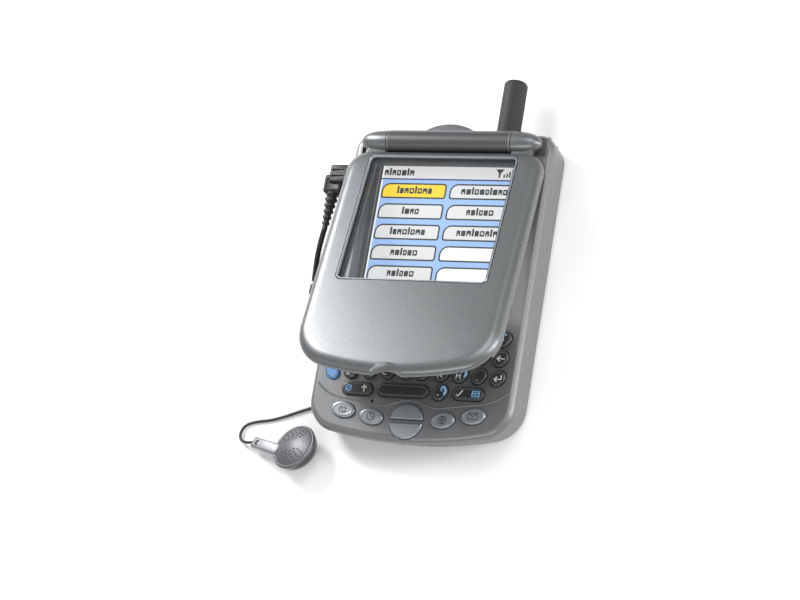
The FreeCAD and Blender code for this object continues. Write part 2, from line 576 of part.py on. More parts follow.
def earSpeaker():
    can = cylinder("speakerCan", "6.5", "1.9", ("0", "-27", "sizes.lidRecess + 0.1"))
    return finish(openLid(gather("ear_speaker", can)), "ear_speaker")


# ---- other moving pieces

def stylus():
    end = "sizes.caseLength / 2 - 0.4"
    barrel = cylinder("stylusBarrel", "sizes.stylusRadius", "sizes.stylusLength - 6",
                      ("sizes.stylusX", "%s - sizes.stylusLength + 6" % end, "sizes.stylusZ"), "y")
    tip = doc.addObject("Part::Cone", "stylusTip")
    bind(tip, Radius1="0.5", Radius2="sizes.stylusRadius", Height="6")
    tip.Placement.Rotation = FreeCAD.Rotation(vector(1, 0, 0), -90)
    place(tip, "sizes.stylusX", "%s - sizes.stylusLength" % end, "sizes.stylusZ")
    return finish(fuse("stylus", barrel, tip), "stylus")


def rockerSwitch():
    paddle = box("rockerPaddle", ("-sizes.caseWidth / 2 - 1.1", "sizes.rockerMid - sizes.rockerLong / 2",
                                  "sizes.rockerZ - sizes.rockerHigh / 2"),
                 ("2.2", "sizes.rockerLong", "sizes.rockerHigh"))
    rounded = fillet("rockerRound", paddle, 0.8,
                     lambda edge: isUpright(edge) and edge.Vertexes[0].X < -size("caseWidth") / 2 - 1)
    back = box("rockerBack", ("-sizes.caseWidth / 2 + 1", "sizes.rockerMid - 2.5",
                              "sizes.rockerZ - sizes.rockerHigh / 2"), ("1.6", "5", "sizes.rockerHigh"))
    pivot = cylinder("rockerPivot", "1.2", "sizes.rockerHigh - 0.4",
                     ("-sizes.caseWidth / 2 + 2.6", "sizes.rockerMid",
                      "sizes.rockerZ - sizes.rockerHigh / 2 + 0.2"))
    return finish(fuse("rocker_switch", rounded, back, pivot), "rocker_switch")


def powerButton():
    cap = cylinder("powerCap", "sizes.powerRadius", "3.2",
                   ("sizes.powerX", "sizes.caseLength / 2 - 2.4", "sizes.powerZ"), "y")
    rounded = fillet("powerRound", cap, 0.4,
                     lambda edge: all(point.y > size("caseLength") / 2 + 0.7 for point in edge.discretize(5)))
    return finish(gather("power_button", rounded), "power_button")


# ---- headset

# plain middle line of the sleeve and of the two visible stretches of cord
sleeveRoute = [(-44.3, 21.9, 8.0), (-46.3, 15.8, 5.4), (-47.4, 10.2, 2.9), (-47.6, 4.6, 1.5)]
nearRoute = [(-47.6, 4.6, 1.5), (-47.2, -0.2, 0.9), (-46.6, -5.2, 0.6), (-46.35, -10.5, 0.6)]
farRoute = [
    (-42.3, -11.9, 7.3), (-41.2, -15.6, 6.2), (-39.5, -19.0, 3.9), (-38.1, -22.6, 1.7), (-37.2, -26.8, 0.7),
    (-37.0, -31.2, 0.6), (-37.1, -35.6, 0.6), (-38.6, -39.6, 0.6), (-43.4, -41.2, 0.6), (-48.9, -43.5, 0.6),
    (-54.3, -45.3, 0.6), (-59.4, -46.0, 0.6), (-63.6, -47.5, 0.7), (-64.8, -51.4, 1.1), (-62.3, -54.3, 1.9),
    (-58.3, -53.8, 2.5),
]


def tube(name, route, radius):
    # straight runs joined by tangent arcs, each arc as large as its two runs allow
    points = [vector(*point) for point in route]
    edges, radii, start = [], [], points[0]
    for before, corner, after in zip(points, points[1:], points[2:]):
        into, out = corner - before, after - corner
        turn = into.getAngle(out)
        reach = 0.45 * min(into.Length, out.Length)
        radii.append(reach / math.tan(turn / 2))
        enter = corner - into.normalize() * reach
        leave = corner + out.normalize() * reach
        bisector = ((enter + leave) * 0.5 - corner).normalize()
        middle = corner + bisector * (radii[-1] / math.cos(turn / 2) - radii[-1])
        edges.append(Part.LineSegment(start, enter).toShape())
        edges.append(Part.Arc(enter, middle, leave).toShape())
        start = leave
    edges.append(Part.LineSegment(start, points[-1]).toShape())
    path = Part.Wire(edges)
    ring = Part.Wire(Part.Circle(points[0], points[1] - points[0], radius).toShape())
    solid = path.makePipeShell([ring], True, True)
    expected = math.pi * radius ** 2 * path.Length
    print("%s length %.1f, volume %.4f of expected, radii %s" % (
        name, path.Length, solid.Volume / expected, " ".join("%.1f" % value for value in radii)))
    return solid


def solidPiece(label, shape):
    piece = doc.addObject("Part::Feature", label)
    piece.Shape = shape
    piece.Placement = FreeCAD.Placement()
    return finish(piece, label)


def headsetPlug():
    outside = "-sizes.caseWidth / 2"
    pin = cylinder("plugPinRod", "sizes.plugPin", "sizes.pinReach + 1",
                   (outside + " - 1", "sizes.jackY", "sizes.jackZ"), "x")
    collar = cylinder("plugCollar", "2.8", "1.4", (outside + " - 1", "sizes.jackY", "sizes.jackZ"), "x")
    head = box("plugHead", (outside + " - 8.4", "sizes.jackY - 3.4", "sizes.jackZ - 3.0"), ("7.6", "6.6",
                                                                                            "6"))
    elbow = box("plugElbow", (outside + " - 10.4", "sizes.jackY - 6.8", "sizes.jackZ - 3.4"), ("6.8",
                                                                                               "6.8", "5.6"))
    relief = doc.addObject("Part::Cone", "plugRelief")
    bind(relief, Radius1="2.4", Radius2="1.5", Height="12.2")
    start = vector(-size("caseWidth") / 2 - 7.6, size("jackY") - 6.2, size("jackZ") - 0.6)
    end = vector(*sleeveRoute[0])
    relief.Placement = FreeCAD.Placement(start, FreeCAD.Rotation(vector(0, 0, 1), end - start))
    relief.setExpression("Height", "%.3f" % (end - start).Length)
    sleeve = doc.addObject("Part::Feature", "plugSleeve")
    route = [tuple(start + (end - start) * 0.6)] + sleeveRoute
    sleeve.Shape = tube("sleeve", route, size("sleeveRadius"))
    return finish(fuse("headset_plug", pin, collar, head, elbow, relief, sleeve), "headset_plug")


def hankLayers(name, middle, half, low, height):
    # a stack of turns: flat sides in line with the case, round ends
    sides = box(name + "Sides", ("%s - %s" % (middle, half), "sizes.hankLow", low),
                ("2 * " + half, "sizes.hankHigh - sizes.hankLow", height))
    ends = [cylinder(name + end, half, height, (middle, "sizes.hank" + end, low)) for end in ("Low", "High")]
    return [sides] + ends


def cordHank():
    # five layers two turns wide, three layers one turn wide, and the first fold around their foot
    lower = hankLayers("hankLower", "sizes.hankMid", "sizes.hankHalf", "0", "5.1")
    upper = hankLayers("hankUpper", "sizes.hankMid + 1.05", "(sizes.hankHalf - 1.1)", "4", "4.15")
    foot = cylinder("hankFoot", "sizes.hankHalf + 0.7", "1.15", ("sizes.hankMid - 0.75", "sizes.hankLow",
                                                                 "0"))
    return finish(fuse("cord_hank", foot, *(lower + upper)), "cord_hank")


def earbud():
    facing = vector(-0.28, 0.245, 0.928)
    turn = FreeCAD.Rotation(vector(0, 0, 1), facing)
    centre = vector(-41.2, -55.8, 7.4)
    face = doc.addObject("Part::Cylinder", "budFace")
    bind(face, Radius="sizes.budRadius", Height="2.6")
    face.Placement = FreeCAD.Placement(centre - facing * 2.0, turn)
    rear = doc.addObject("Part::Cone", "budRear")
    bind(rear, Radius1="4.6", Radius2="sizes.budRadius - 0.3", Height="3.6")
    rear.Placement = FreeCAD.Placement(centre - facing * 5.6, turn)
    stemStart = vector(*farRoute[-1])
    stemEnd = stemStart + vector(0.93, -0.26, 0.25) * 12
    stem = doc.addObject("Part::Box", "budStem")
    bind(stem, Length="1.9", Width="3.8", Height="12")
    along = FreeCAD.Rotation(facing, vector(0, 0, 0), stemEnd - stemStart, "ZXY")
    stem.Placement = FreeCAD.Placement(stemStart + along.multVec(vector(-0.95, -1.9, 0)), along)
    return finish(fuse("earbud", face, rear, stem), "earbud")


def build():
    pieces = [backShell(), frontShell(), caseScrews(), displayModule(), mainBoard(), battery(), antenna(),
              infraredWindow(), hingePins(), lidShell(), lidWindow(), earSpeaker(), stylus(), rockerSwitch(),
              powerButton(), headsetPlug(),
              solidPiece("cord_near", tube("near", nearRoute, size("cordRadius"))), cordHank(),
              solidPiece("cord_far", tube("far", farRoute, size("cordRadius"))), earbud()]
    return pieces + keys()


def write(pieces):
    doc.recompute()
    for item in doc.Objects:
        if "Invalid" in item.State or "Error" in item.State:
            raise RuntimeError("failed: %s %s" % (item.Name, item.State))
    os.makedirs("parts", exist_ok=True)
    for piece in pieces:
        shape = piece.Shape
        if shape.isNull() or not shape.isValid():
            raise RuntimeError("bad shape: " + piece.Label)
        shape.exportStep("parts/%s.step" % piece.Label)
        low, high = shape.BoundBox, shape.BoundBox
        print("%-18s solids %d volume %8.1f  x %.1f..%.1f y %.1f..%.1f z %.1f..%.1f" % (
            piece.Label, len(shape.Solids), shape.Volume, low.XMin, high.XMax, low.YMin, high.YMax,
            low.ZMin, high.ZMax))
    print(len(pieces), "pieces")


write(build())
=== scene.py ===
import json
import math
import bpy
from mathutils import Matrix, Vector


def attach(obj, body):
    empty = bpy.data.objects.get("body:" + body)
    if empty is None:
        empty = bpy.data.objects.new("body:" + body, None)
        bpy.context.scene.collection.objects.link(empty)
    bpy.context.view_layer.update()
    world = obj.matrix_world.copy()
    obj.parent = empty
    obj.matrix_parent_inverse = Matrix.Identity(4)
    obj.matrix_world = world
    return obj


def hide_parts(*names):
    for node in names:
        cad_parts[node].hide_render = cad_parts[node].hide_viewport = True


# Flip-lid pocket organiser with a thumb keyboard and a wired earphone, lying on its back.
# Values are in millimetres and in the CAD frame; mm turns them into the scene's metres.

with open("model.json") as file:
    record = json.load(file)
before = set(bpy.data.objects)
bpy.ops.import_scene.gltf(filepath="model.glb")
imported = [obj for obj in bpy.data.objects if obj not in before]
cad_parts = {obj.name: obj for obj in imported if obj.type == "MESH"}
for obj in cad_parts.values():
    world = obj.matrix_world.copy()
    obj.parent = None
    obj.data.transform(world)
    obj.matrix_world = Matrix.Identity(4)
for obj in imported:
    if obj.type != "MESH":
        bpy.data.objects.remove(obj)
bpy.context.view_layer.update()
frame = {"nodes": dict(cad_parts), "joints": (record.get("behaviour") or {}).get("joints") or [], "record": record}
mm = 0.001
hinge = [joint for joint in frame["joints"] if joint["name"] == "lid_hinge"][0]
slotOf = {part["node"]: part["material_slot"] for part in frame["record"]["subparts"]}
print("stage: frame loaded")


def point(x, y, z):
    return Vector((x, y, z)) * mm


# camera and light

look = {"place": (290.3, -256.1, 709.9), "right": (0.926, 0.1627, -0.3406), "up": (-0.0349, 0.9354, 0.3519),
        "lens": 109.2}


def makeCamera():
    bpy.ops.object.camera_add()
    camera = bpy.context.object
    right, up = Vector(look["right"]).normalized(), Vector(look["up"]).normalized()
    turn = Matrix((right, up, right.cross(up))).transposed().to_4x4()
    camera.matrix_world = Matrix.Translation(point(*look["place"])) @ turn
    camera.data.lens = look["lens"]
    camera.data.sensor_width = 36
    camera.data.clip_start = 0.01
    bpy.context.scene.camera = camera


# name: place in metres, side lengths in metres, power in watts
lamps = {
    "key": ((-0.28, 0.20, 0.26), (0.12, 0.26), 1.75),
    "side": ((-0.45, -0.35, 0.35), (0.30, 0.30), 0.2),
    "front": ((0.05, -0.60, 0.50), (0.60, 0.20), 1.8),
    "right": ((0.62, 0.05, 0.26), (0.20, 0.60), 3.4),
    "top": ((0.30, 0.35, 0.95), (0.50, 0.50), 3.0),
}


def makeLights():
    for name, (place, sides, power) in lamps.items():
        bpy.ops.object.light_add(type="AREA", location=place)
        lamp = bpy.context.object
        lamp.name = name
        lamp.rotation_mode = "QUATERNION"
        lamp.rotation_quaternion = (-Vector(place)).to_track_quat("-Z", "Y")
        lamp.data.shape = "RECTANGLE"
        lamp.data.size, lamp.data.size_y = sides
        lamp.data.energy = power
    world = bpy.data.worlds.new("room")
    world.use_nodes = True
    world.node_tree.nodes["Background"].inputs["Color"].default_value = (0.95, 0.97, 1.0, 1)
    world.node_tree.nodes["Background"].inputs["Strength"].default_value = 0.45
    bpy.context.scene.world = world
    bpy.context.scene.view_settings.view_transform = "Standard"


def toObject(obj):
    if bpy.context.mode != "OBJECT":
        bpy.ops.object.mode_set(mode="OBJECT")
    bpy.ops.object.select_all(action="DESELECT")
    obj.select_set(True)
    bpy.context.view_layer.objects.active = obj
    return obj


def toEdit(obj, kind="FACE", action="SELECT"):
    toObject(obj)
    bpy.ops.object.mode_set(mode="EDIT")
    bpy.ops.mesh.select_mode(type=kind)
    bpy.ops.mesh.select_all(action=action)
    return obj


def applied(obj):
    toObject(obj)
    bpy.ops.object.transform_apply(location=True, rotation=True, scale=True)
    return obj


def pick(obj, kind, test):
    # selects the edges or faces all of whose corners pass the test, then enters edit mode
    toEdit(obj, kind, "DESELECT")
    bpy.ops.object.mode_set(mode="OBJECT")
    corners = [vertex.co / mm for vertex in obj.data.vertices]
    for item in obj.data.edges if kind == "EDGE" else obj.data.polygons:
        item.select = test([corners[number] for number in item.vertices])
    bpy.ops.object.mode_set(mode="EDIT")


def block(low, high, rounding=0, uprightOnly=False, segments=3):
    # a box between two corners, with all its edges or only the upright ones rounded
    middle = [(a + b) / 2 * mm for a, b in zip(low, high)]
    sides = [(b - a) * mm for a, b in zip(low, high)]
    bpy.ops.mesh.primitive_cube_add(size=1, location=middle, scale=sides)
    obj = applied(bpy.context.object)
    if rounding:
        pick(obj, "EDGE", lambda ends: not uprightOnly or abs(ends[0].z - ends[1].z) > 0.01)
        bpy.ops.mesh.bevel(offset=rounding * mm, segments=segments)
        bpy.ops.object.mode_set(mode="OBJECT")
    return obj


def plate(points, z):
    # a flat face on an outline; circle primitive whose corners go to the outline's points
    bpy.ops.mesh.primitive_circle_add(vertices=len(points), radius=mm, fill_type="NGON")
    obj = bpy.context.object
    for vertex, (x, y) in zip(obj.data.vertices, points):
        vertex.co = point(x, y, z)
    return obj


def stack(points, levels, middle, half):
    # a solid grown from an outline: each level (inset, height) is an extrusion scaled towards the middle
    obj = plate([(middle[0] + (x - middle[0]) * (half[0] - levels[0][0]) / half[0],
                  middle[1] + (y - middle[1]) * (half[1] - levels[0][0]) / half[1]) for x, y in points],
                levels[0][1])
    toEdit(obj)
    for (before, low), (after, high) in zip(levels, levels[1:]):
        bpy.ops.mesh.extrude_region_move(TRANSFORM_OT_translate={"value": (0, 0, (high - low) * mm)})
        grow = [(side - after) / (side - before) for side in half]
        bpy.ops.transform.resize(value=(*grow, 1), center_override=point(*middle, high))
    bpy.ops.object.mode_set(mode="OBJECT")
    return obj


def arc(x, y, radius, start, end, steps):
    # points on a circle, angles in degrees
    turns = [math.radians(start + (end - start) * step / steps) for step in range(steps + 1)]
    return [(x + radius * math.cos(turn), y + radius * math.sin(turn)) for turn in turns]


def rounded(x0, y0, x1, y1, corners, steps=6):
    # rectangle with its own radius at lower left, lower right, upper right and upper left
    a, b, c, d = corners
    return (arc(x0 + a, y0 + a, a, 180, 270, steps) + arc(x1 - b, y0 + b, b, 270, 360, steps)
            + arc(x1 - c, y1 - c, c, 0, 90, steps) + arc(x0 + d, y1 - d, d, 90, 180, steps))


def oval(x, y, longRadius, shortRadius, tilt=0, steps=40):
    turn = math.radians(tilt)
    return [(x + u * longRadius * math.cos(turn) - v * shortRadius * math.sin(turn),
             y + u * longRadius * math.sin(turn) + v * shortRadius * math.cos(turn))
            for u, v in arc(0, 0, 1, 0, 360, steps)[:-1]]


def disc(radius, levels, corners=32, x=0, y=0):
    # a turned part: a circle grown through its levels
    return stack(oval(x, y, radius, radius, 0, corners), levels, (x, y), (radius, radius))


def laidAlongX(obj, place, way=1):
    # a turned part made upright is laid along x, towards +x or -x, and put in its place
    turn = Matrix.Rotation(math.radians(90 * way), 4, "Y")
    obj.data.transform(Matrix.Translation(point(*place)) @ turn)
    return obj


def combine(obj, tool, operation="DIFFERENCE"):
    # cuts the tool from the object or adds it, and removes the tool
    modifier = obj.modifiers.new("combine", "BOOLEAN")
    modifier.object = tool
    modifier.operation = operation
    modifier.solver = "EXACT"
    toObject(obj)
    bpy.ops.object.modifier_apply(modifier="combine")
    bpy.data.objects.remove(tool)
    return obj


def joined(pieces):
    toObject(pieces[0])
    for piece in pieces:
        piece.select_set(True)
    bpy.ops.object.join()
    return bpy.context.object


def wire(points, radius, order=3):
    # a round bar along one smooth NURBS curve, or a plain bent one at order 2
    curve = bpy.data.curves.new("wire", "CURVE")
    curve.dimensions = "3D"
    curve.bevel_depth = radius * mm
    curve.bevel_resolution = 4
    curve.use_fill_caps = True
    spline = curve.splines.new("NURBS")
    spline.points.add(len(points) - 1)
    for control, place in zip(spline.points, points):
        control.co = (*point(*place), 1)
    spline.order_u = order
    spline.use_endpoint_u = True
    spline.resolution_u = 8
    obj = bpy.data.objects.new("wire", curve)
    bpy.context.collection.objects.link(obj)
    return obj


def meshed(obj):
    toObject(obj)
    bpy.ops.object.convert(target="MESH")
    return bpy.context.object


def dress(obj, *materials):
    obj.data.materials.clear()
    for material in materials:
        obj.data.materials.append(material)
    return obj


def outward(obj):
    toEdit(obj)
    bpy.ops.mesh.normals_make_consistent(inside=False)
    return toObject(obj)


def piece(obj, name, body, slotName, material=None, smooth=32, replacing=()):
    # gives a finished mesh its normals, shading, name, material and body
    outward(obj)
    bpy.ops.object.shade_smooth_by_angle(angle=math.radians(smooth))
    obj.name = obj.data.name = name
    if material:
        dress(obj, material)
    if replacing:
        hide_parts(*replacing)
    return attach(obj, body)


def openLid(obj):
    # pieces of the lid are made closed, then turned to where the hinge stands at rest
    angle = math.radians(hinge["range_deg"][0])
    turn = Matrix.Rotation(-angle, 4, hinge["axis"])
    place = Matrix.Translation(hinge["pos_m"])
    obj.data.transform(place @ turn @ place.inverted())
    return obj


def linear(code):
    # sRGB hex colour to linear
    parts = [int(code[start:start + 2], 16) / 255 for start in (1, 3, 5)]
    return [part / 12.92 if part <= 0.04045 else ((part + 0.055) / 1.055) ** 2.4 for part in parts] + [1]


def addNode(tree, kind, settings=None, inputs=None):
    made = tree.nodes.new("ShaderNode" + kind)
    for name, value in (settings or {}).items():
        setattr(made, name, value)
    for name, value in (inputs or {}).items():
        if isinstance(value, bpy.types.NodeSocket):
            tree.links.new(value, made.inputs[name])
        else:
            made.inputs[name].default_value = value
    return made


def startMaterial(name):
    material = bpy.data.materials.new(name)
    material.use_nodes = True
    tree = material.node_tree
    tree.nodes.clear()
    shader = addNode(tree, "BsdfPrincipled")
    addNode(tree, "OutputMaterial", None, {"Surface": shader.outputs["BSDF"]})
    where = addNode(tree, "TexCoord").outputs["Object"]
    return material, tree, shader, where


def grain(tree, where, size, detail=2.0, rough=0.5):
    # noise whose features are about size millimetres
    return addNode(tree, "TexNoise", None, {"Vector": where, "Scale": 1 / (size * mm), "Detail": detail,
                                            "Roughness": rough}).outputs["Fac"]


def ramp(tree, factor, low, high, dark, light):
    # grey factor between low and high turned into a mix of two colours
    node = addNode(tree, "ValToRGB", None, {"Fac": factor})
    node.color_ramp.elements[0].position, node.color_ramp.elements[1].position = low, high
    node.color_ramp.elements[0].color, node.color_ramp.elements[1].color = dark, light
    return node.outputs["Color"]


def settle(shader, tree, **values):
    # sets or links sockets of the main shader, with "_" for a space in the name
    for name, value in values.items():
        socket = shader.inputs[name.replace("_", " ")]
        if isinstance(value, bpy.types.NodeSocket):
            tree.links.new(value, socket)
        else:
            socket.default_value = value


def bump(tree, height, distance, strength=1.0):
    return addNode(tree, "Bump", None, {"Height": height, "Distance": distance * mm,
                                        "Strength": strength}).outputs["Normal"]


def flakePaint(name, dark, light, roughness, size=0.26, depth=0.005):
    # silver-grey metallic lacquer sprayed on moulded plastic: aluminium flakes give a fine sandy sparkle
    material, tree, shader, where = startMaterial(name)
    flakes = grain(tree, where, size, 2.0, 0.6)
    tone = ramp(tree, flakes, 0.32, 0.70, linear(dark), linear(light))
    gloss = addNode(tree, "MapRange", None, {"Value": grain(tree, where, 0.9), "To Min": roughness - 0.05,
                                             "To Max": roughness + 0.07}).outputs["Result"]
    settle(shader, tree, Base_Color=tone, Metallic=0.62, Roughness=gloss, Coat_Weight=0.25,
           Coat_Roughness=0.22, Normal=bump(tree, flakes, depth, 0.5))
    return material


def mouldedPlastic(name, colour, roughness, texture=0.3, depth=0.006, variation=0.12, coat=0.0):
    # injection-moulded plastic: a faint texture of the mould and slightly uneven gloss
    material, tree, shader, where = startMaterial(name)
    base = linear(colour)
    darker = [part * (1 - variation) for part in base[:3]] + [1]
    speck = grain(tree, where, texture)
    cloud = grain(tree, where, 14)
    gloss = addNode(tree, "MapRange", None, {"Value": cloud, "To Min": roughness - 0.05,
                                             "To Max": roughness + 0.06}).outputs["Result"]
    settle(shader, tree, Base_Color=ramp(tree, speck, 0.3, 0.7, darker, base), Roughness=gloss,
           Coat_Weight=coat, Coat_Roughness=0.15, Normal=bump(tree, speck, depth))
    return material


def turnedMetal(name, colour, roughness):
    # plain steel with a fine machined grain
    material, tree, shader, where = startMaterial(name)
    speck = grain(tree, where, 0.2)
    settle(shader, tree, Base_Color=linear(colour), Metallic=1.0, Normal=bump(tree, speck, 0.004),
           Roughness=addNode(tree, "MapRange", None, {"Value": speck, "To Min": roughness - 0.06,
                                                      "To Max": roughness + 0.1}).outputs["Result"])
    return material


def clearSheet(name):
    # clear polycarbonate: almost invisible, with a faint grey tint and a hard shine
    material, tree, shader, where = startMaterial(name)
    haze = addNode(tree, "MapRange", None, {"Value": grain(tree, where, 8), "To Min": 0.02,
                                            "To Max": 0.035}).outputs["Result"]
    settle(shader, tree, Base_Color=linear("#dfe4e6"), Roughness=0.06, Alpha=haze, Specular_IOR_Level=0.3)
    material.surface_render_method = "BLENDED"
    return material


def litFilm(name, colour, glow):
    # backlit screen film: its own light, and a very fine dot structure
    material, tree, shader, where = startMaterial(name)
    base = linear(colour)
    dots = ramp(tree, grain(tree, where, 0.3), 0.2, 0.8, [part * 0.96 for part in base[:3]] + [1], base)
    settle(shader, tree, Base_Color=[part * 0.2 for part in base[:3]] + [1], Roughness=0.5,
           Emission_Color=dots, Emission_Strength=glow, Specular_IOR_Level=0.2)
    return material


def circuitBoard(name):
    # green solder mask with pale copper tracks under it
    material, tree, shader, where = startMaterial(name)
    tracks = addNode(tree, "TexBrick", None, {"Vector": where, "Scale": 220.0, "Color1": linear("#0e4a2a"),
                                              "Color2": linear("#12552f"), "Mortar": linear("#2c7a4c"),
                                              "Mortar Size": 0.03}).outputs["Color"]  # 2.3 mm apart
    settle(shader, tree, Base_Color=tracks, Roughness=0.4)
    return material


def makeMaterials():
    return {
        "case": flakePaint("casePaint", "#68696a", "#7f8182", 0.44),  # satin silver-grey lacquer
        # the same lacquer, smoother and a little darker
        "lid": flakePaint("lidPaint", "#5f6162", "#767879", 0.34),
        "barrel": flakePaint("barrelPaint", "#464748", "#5a5b5c", 0.42),  # dark lacquer of the hinge barrel
        "clear_window": clearSheet("windowSheet"),  # the pane, seen only by its shine
        "display": mouldedPlastic("screenBorder", "#141516", 0.42),  # black ink round the display
        # charcoal caps, slightly glossy
        "keys": mouldedPlastic("keyCharcoal", "#343536", 0.36, 0.25, 0.004, 0.15, 0.15),
        "blue_key": mouldedPlastic("keyBlue", "#5f93c8", 0.30, 0.25, 0.004, 0.08, 0.3),  # one glossy blue cap
        # bright silver ovals, fine grain
        "buttons": flakePaint("buttonSilver", "#878b8f", "#9a9ea2", 0.34, 0.2, 0.002),
        # thin light line round each cap: a raised rim on the cap's edge, painted lighter than the cap as a painted
        # highlight on its bevel
        "keyRimPaintedHighlight": mouldedPlastic("keyRimPaintedHighlight", "#5c5e60", 0.26, 0.3, 0.003, 0.1, 0.3),
        "rocker": mouldedPlastic("rockerGrey", "#3a3b3d", 0.45),  # matt dark switch
        "antenna": mouldedPlastic("antennaRubber", "#1a1b1b", 0.60, 0.35, 0.01),  # dull black rubber
        "dark_window": mouldedPlastic("smokedWindow", "#5a5c60", 0.25),  # grey dome with a sharp shine
        "dark_plastic": mouldedPlastic("blackPlastic", "#151617", 0.5),  # plain black, half matt
        "stylus": mouldedPlastic("stylusGrey", "#4a4b4e", 0.4),  # dark grey barrel
        "steel": turnedMetal("steel", "#b9bbbe", 0.32),  # pins and screws, bright with soft edges
        "contact": turnedMetal("goldContact", "#c9a34e", 0.28),  # a row of small yellow glints
        "board": circuitBoard("solderMask"),  # green board with fine tracks
        "cell": turnedMetal("foilPouch", "#c9cccf", 0.42),  # dull foil of the cell
        # black vinyl with a soft line of light
        "cord_black": mouldedPlastic("cordSleeve", "#161617", 0.42, 0.4, 0.006),
        "earbud": mouldedPlastic("budHousing", "#0d0d0e", 0.24, 0.4, 0.002, 0.1, 0.2),  # glossy black shell
        "budFace": flakePaint("budSilver", "#56575a", "#696a6c", 0.48),  # painted face, matt grey
        "stemSilver": flakePaint("stemSilver", "#737476", "#868789", 0.46),  # painted stem, lighter
        "legendWhite": mouldedPlastic("legendWhite", "#c4c6c7", 0.5),  # pad-printed ink, flat white
        "legendBlue": mouldedPlastic("legendBlue", "#82b6de", 0.5),  # pad-printed ink, flat blue
        "gap": mouldedPlastic("shadowGap", "#0a0a0b", 0.6),  # near black, reads as a gap: painted shade
        # dark grey plastic under the glass; on the window's inner wall and the deck round the screen its darkness
        # is painted shade
        "frame": mouldedPlastic("frameGrey", "#353b3e", 0.40, 0.3, 0.004, 0.12, 0.1),
        "icon": mouldedPlastic("iconInk", "#2c3034", 0.5),  # dark ink on silver
    }


makeCamera()
makeLights()
materials = makeMaterials()
for node, obj in frame["nodes"].items():
    for number in range(len(obj.data.materials)):
        obj.data.materials[number] = materials[slotOf[node]]
print("stage: camera, lights and materials made")


# the route of the CAD tubes, repeated; the folded length between them is worked out below
sleeveRoute = [(-44.3, 21.9, 8.0), (-46.3, 15.8, 5.4), (-47.4, 10.2, 2.9), (-47.6, 4.6, 1.5)]
nearRoute = [(-47.6, 4.6, 1.5), (-47.2, -0.2, 0.9), (-46.6, -5.2, 0.6)]
farRoute = [
    (-42.3, -11.9, 7.3), (-41.2, -15.6, 6.2), (-39.5, -19.0, 3.9), (-38.1, -22.6, 1.7), (-37.2, -26.8, 0.7),
    (-37.0, -31.2, 0.6), (-37.1, -35.6, 0.6), (-38.6, -39.6, 0.6), (-43.4, -41.2, 0.6), (-48.9, -43.5, 0.6),
    (-54.3, -45.3, 0.6), (-59.4, -46.0, 0.6), (-63.6, -47.5, 0.7), (-64.8, -51.4, 1.1), (-62.3, -54.3, 1.9),
    (-58.3, -53.8, 2.5),
]
cordForm = {"diameter": 1.0, "length": 852, "lowEnd": -10.5, "highEnd": 8.5, "wideRadius": 4.1,
            "tightRadius": 3.1, "middle": -40.7, "upperMiddle": -39.75, "wideLayers": 5, "narrowLayers": 3,
            "firstLeft": -46.35, "firstHeight": 0.6, "straightInset": 6}


def hankTurns():
    # racetrack turns, two to a layer and then one, wound upwards; each steps over on its left run
    form = cordForm
    rings = []
    for layer in range(form["wideLayers"]):
        pair = [form["wideRadius"], form["tightRadius"]]
        rings += [(radius, form["middle"], layer) for radius in (pair if layer % 2 == 0 else pair[::-1])]
    rings += [(form["tightRadius"], form["upperMiddle"], form["wideLayers"] + layer)
              for layer in range(form["narrowLayers"])]
    points = []
    for number, (radius, middle, layer) in enumerate(rings):
        height = form["firstHeight"] + layer * form["diameter"]
        right = middle + radius
        left = form["firstLeft"] if number == 0 else middle - radius
        foldMiddle, foldRadius = (left + right) / 2, (right - left) / 2
        points += [(x, y, height) for x, y in arc(foldMiddle, form["lowEnd"], foldRadius, 180, 360, 5)]
        points += [(right, form["lowEnd"] + form["straightInset"], height)]
        points += [(right, form["highEnd"] - form["straightInset"], height)]
        points += [(x, y, height) for x, y in arc(middle, form["highEnd"], radius, 0, 180, 5)]
    return points


def makeCord():
    cord = wire(nearRoute + hankTurns() + farRoute, cordForm["diameter"] / 2)
    cord.name = cord.data.name = "headset_cord"
    dress(cord, materials["cord_black"])
    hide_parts("cord_near", "cord_hank", "cord_far")
    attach(cord, "headset")
    return cord


tieForm = {"outerLow": (-45.8, -2.6, 0.02), "outerHigh": (-35.75, 1.4, 8.55), "innerLow": (-45.3, -4, 0.4),
           "innerHigh": (-36.2, 4, 8.15), "lapLow": (-42.5, -2.5, 8.3), "lapHigh": (-37.5, 1.3, 8.85)}


def makeTie():
    # soft strap around the hank, its end lapped over the top
    form = tieForm
    outer = block(form["outerLow"], form["outerHigh"], 0.8)
    strap = combine(outer, block(form["innerLow"], form["innerHigh"], 0.6))
    lap = block(form["lapLow"], form["lapHigh"], 0.2)
    return piece(joined([strap, lap]), "hank_tie", "headset", "dark_plastic", materials["dark_plastic"])


# levels are (inset, height); the pin is a shaft with two insulating grooves and a rounded tip
plugForm = {"headLow": (-44.0, 36.6, 7.0), "headHigh": (-36.4, 43.2, 13.0), "elbowLow": (-46.0, 33.2, 6.6),
            "elbowHigh": (-39.2, 40.0, 12.2), "grooves": (38.4, 40.6), "grooveWide": 0.8,
            "dipLow": (-45.0, 34.4, 11.8), "dipHigh": (-40.4, 38.6, 13),
            "ribs": 6, "ribLevels": [(0.45, 0), (0.1, 0.15), (0, 0.5), (0.05, 1.1), (0.45, 1.35)],
            "reliefTop": 2.35, "reliefEnd": 1.35, "reliefStart": (-43.0, 34.2, 9.6),
            "collarRadius": 2.8, "collarPlace": (-36.8, 40, 10),
            "pinRadius": 1.25, "pinPlace": (-36.6, 40, 10), "sleeveRadius": 0.95,
            "pinLevels": [(0, 0), (0, 3.4), (0.25, 3.5), (0.25, 3.8), (0, 3.9), (0, 7.4), (0.25, 7.5),
                          (0.25, 7.7), (0, 7.8), (0, 9.0), (0.5, 9.9), (0.9, 10.3)]}


